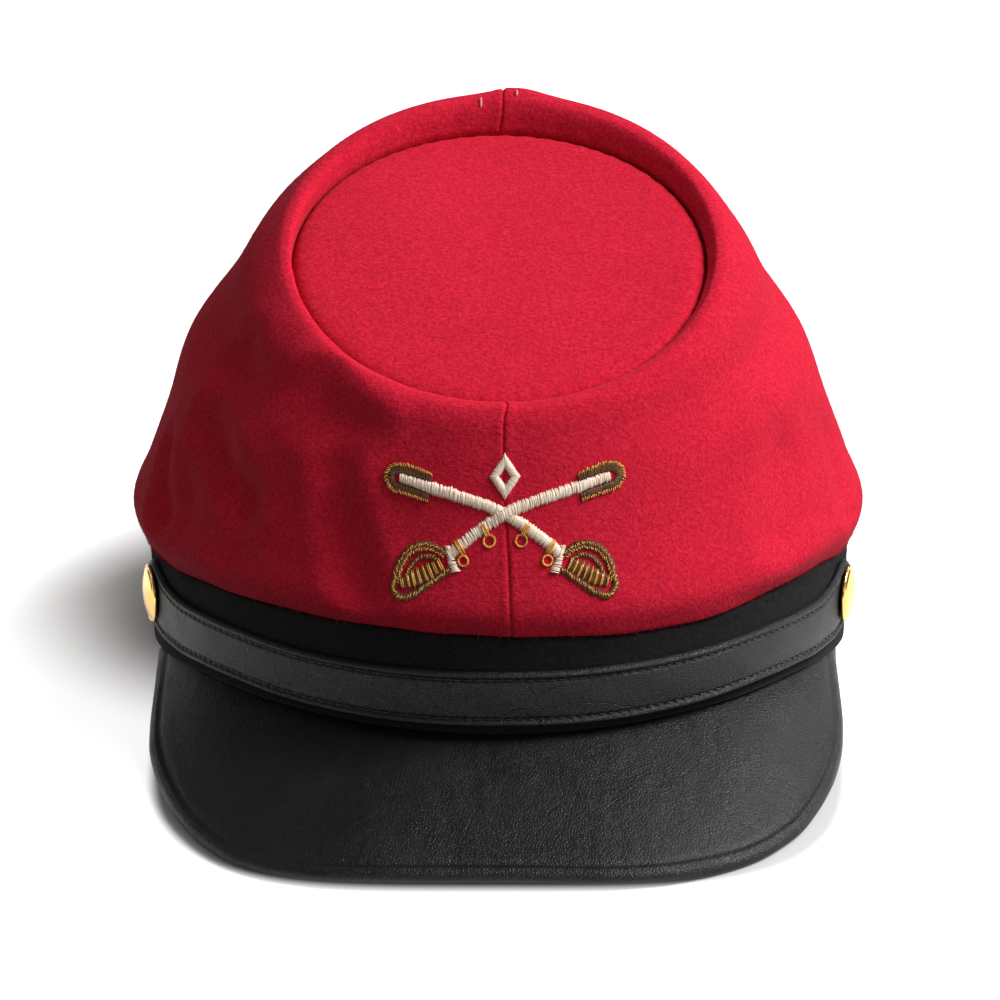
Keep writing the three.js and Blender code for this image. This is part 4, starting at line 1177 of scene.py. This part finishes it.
# ---------------------------------------------------------------------------------------------------------------------
# Nap: short wool hairs that stand out of the felt
# ---------------------------------------------------------------------------------------------------------------------
def hairs(name, surf, nrm, closed_u, count, length, radius, lift, material, slot_, seed, mask=None, where=None):
    """surf, nrm: (nu, nv, 3) grids. Each hair is a closed thin three-sided spike."""
    g = np.random.default_rng(seed)
    a = surf
    b = np.roll(surf, -1, 0) if closed_u else surf[1:]
    if not closed_u:
        a = surf[:-1]
    p00, p10, p01, p11 = a[:, :-1], b[:, :-1], a[:, 1:], b[:, 1:]
    na = nrm if closed_u else nrm[:-1]
    nb_ = np.roll(nrm, -1, 0) if closed_u else nrm[1:]
    n00, n10, n01, n11 = na[:, :-1], nb_[:, :-1], na[:, 1:], nb_[:, 1:]
    area = np.linalg.norm(np.cross(p10 - p00, p01 - p00), axis=-1)
    if where is not None:
        area = area * where((p00 + p11) / 2)
    w = area.reshape(-1)
    cum = np.cumsum(w) / w.sum()
    pick = np.clip(np.searchsorted(cum, g.random(count)), 0, len(w) - 1)
    u, v = g.random(count)[:, None], g.random(count)[:, None]

    def bil(c00, c10, c01, c11):
        c00, c10, c01, c11 = (c.reshape(-1, 3)[pick] for c in (c00, c10, c01, c11))
        return (c00 * (1 - u) + c10 * u) * (1 - v) + (c01 * (1 - u) + c11 * u) * v

    p = bil(p00, p10, p01, p11)
    n = unit(bil(n00, n10, n01, n11))
    r = unit(g.normal(size=(count, 3)))
    tan = unit(r - n * np.einsum("ij,ij->i", r, n)[:, None])
    el = np.radians(np.clip(g.normal(lift[0], lift[1], count), 2, 85))[:, None]
    d = tan * np.cos(el) + n * np.sin(el)
    ln = g.uniform(length[0], length[1], count)[:, None] * (0.6 + 0.4 * np.cos(el))
    bend = unit(g.normal(size=(count, 3)) + n * -0.3) * ln * 0.16
    s1 = unit(np.cross(d, n + 1e-3))
    s2 = np.cross(d, s1)
    rad = (radius * g.uniform(0.7, 1.3, count))[:, None]
    base = p - n * 0.06
    ring = [base + (s1 * math.cos(t) + s2 * math.sin(t)) * rad for t in (0.0, 2.094, 4.189)]
    tip = base + d * ln + bend
    verts = np.stack(ring + [tip], 1).reshape(-1, 3)
    f = np.array([[0, 1, 3], [1, 2, 3], [2, 0, 3], [0, 2, 1]])
    faces_ = (f[None] + (np.arange(count) * 4)[:, None, None]).reshape(-1, 3)
    o = solid(name, verts, [faces_], False)
    return dress(o, material, slot_)


cols = np.arange(1, len(AT_OUT))
crown_surf, crown_nrm = OUT_P[:, cols], OUT_N[:, cols]
hairs("crown_nap_left", crown_surf, crown_nrm, True, 36000, (0.5, 1.35), 0.022, (20, 16), RED_NAP, "crown_felt", 1, where=lambda q: (q[..., 0] <= 0) * 1.0)
hairs("crown_nap_right", crown_surf, crown_nrm, True, 36000, (0.5, 1.35), 0.022, (20, 16), RED_NAP, "crown_felt", 2, where=lambda q: (q[..., 0] > 0) * 1.0)
disc_surf = np.stack(top_rings[3:], 1)
disc_nrm = np.broadcast_to(disc_normal, disc_surf.shape)
hairs("top_nap", disc_surf, disc_nrm, True, 12000, (0.5, 1.3), 0.022, (18, 14), RED_NAP, "crown_felt", 3)
band_surf = bstack[:, 4:21]
band_nrm = np.repeat(rim_normal(BAND_PHI)[:, None], band_surf.shape[1], 1)
hairs("band_nap", band_surf, band_nrm, True, 24000, (0.5, 1.4), 0.022, (28, 18), BLACK_NAP, "band_cloth", 4)

# the two felts run into each other at their edge: longer, wilder hairs on both sides of it
hairs("edge_nap_red", crown_surf[:, :5], crown_nrm[:, :5], True, 7000, (0.7, 1.9), 0.026, (16, 14), RED_NAP, "crown_felt", 5)
hairs("edge_nap_black", bstack[:, 17:21], band_nrm[:, :4], True, 5000, (0.7, 1.7), 0.026, (26, 16), BLACK_NAP, "band_cloth", 6)

size = {"cad": CAD_BOX, "visual": [list(c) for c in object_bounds()]}
{k: [[float(x) for x in c] for c in v] for k, v in size.items()}
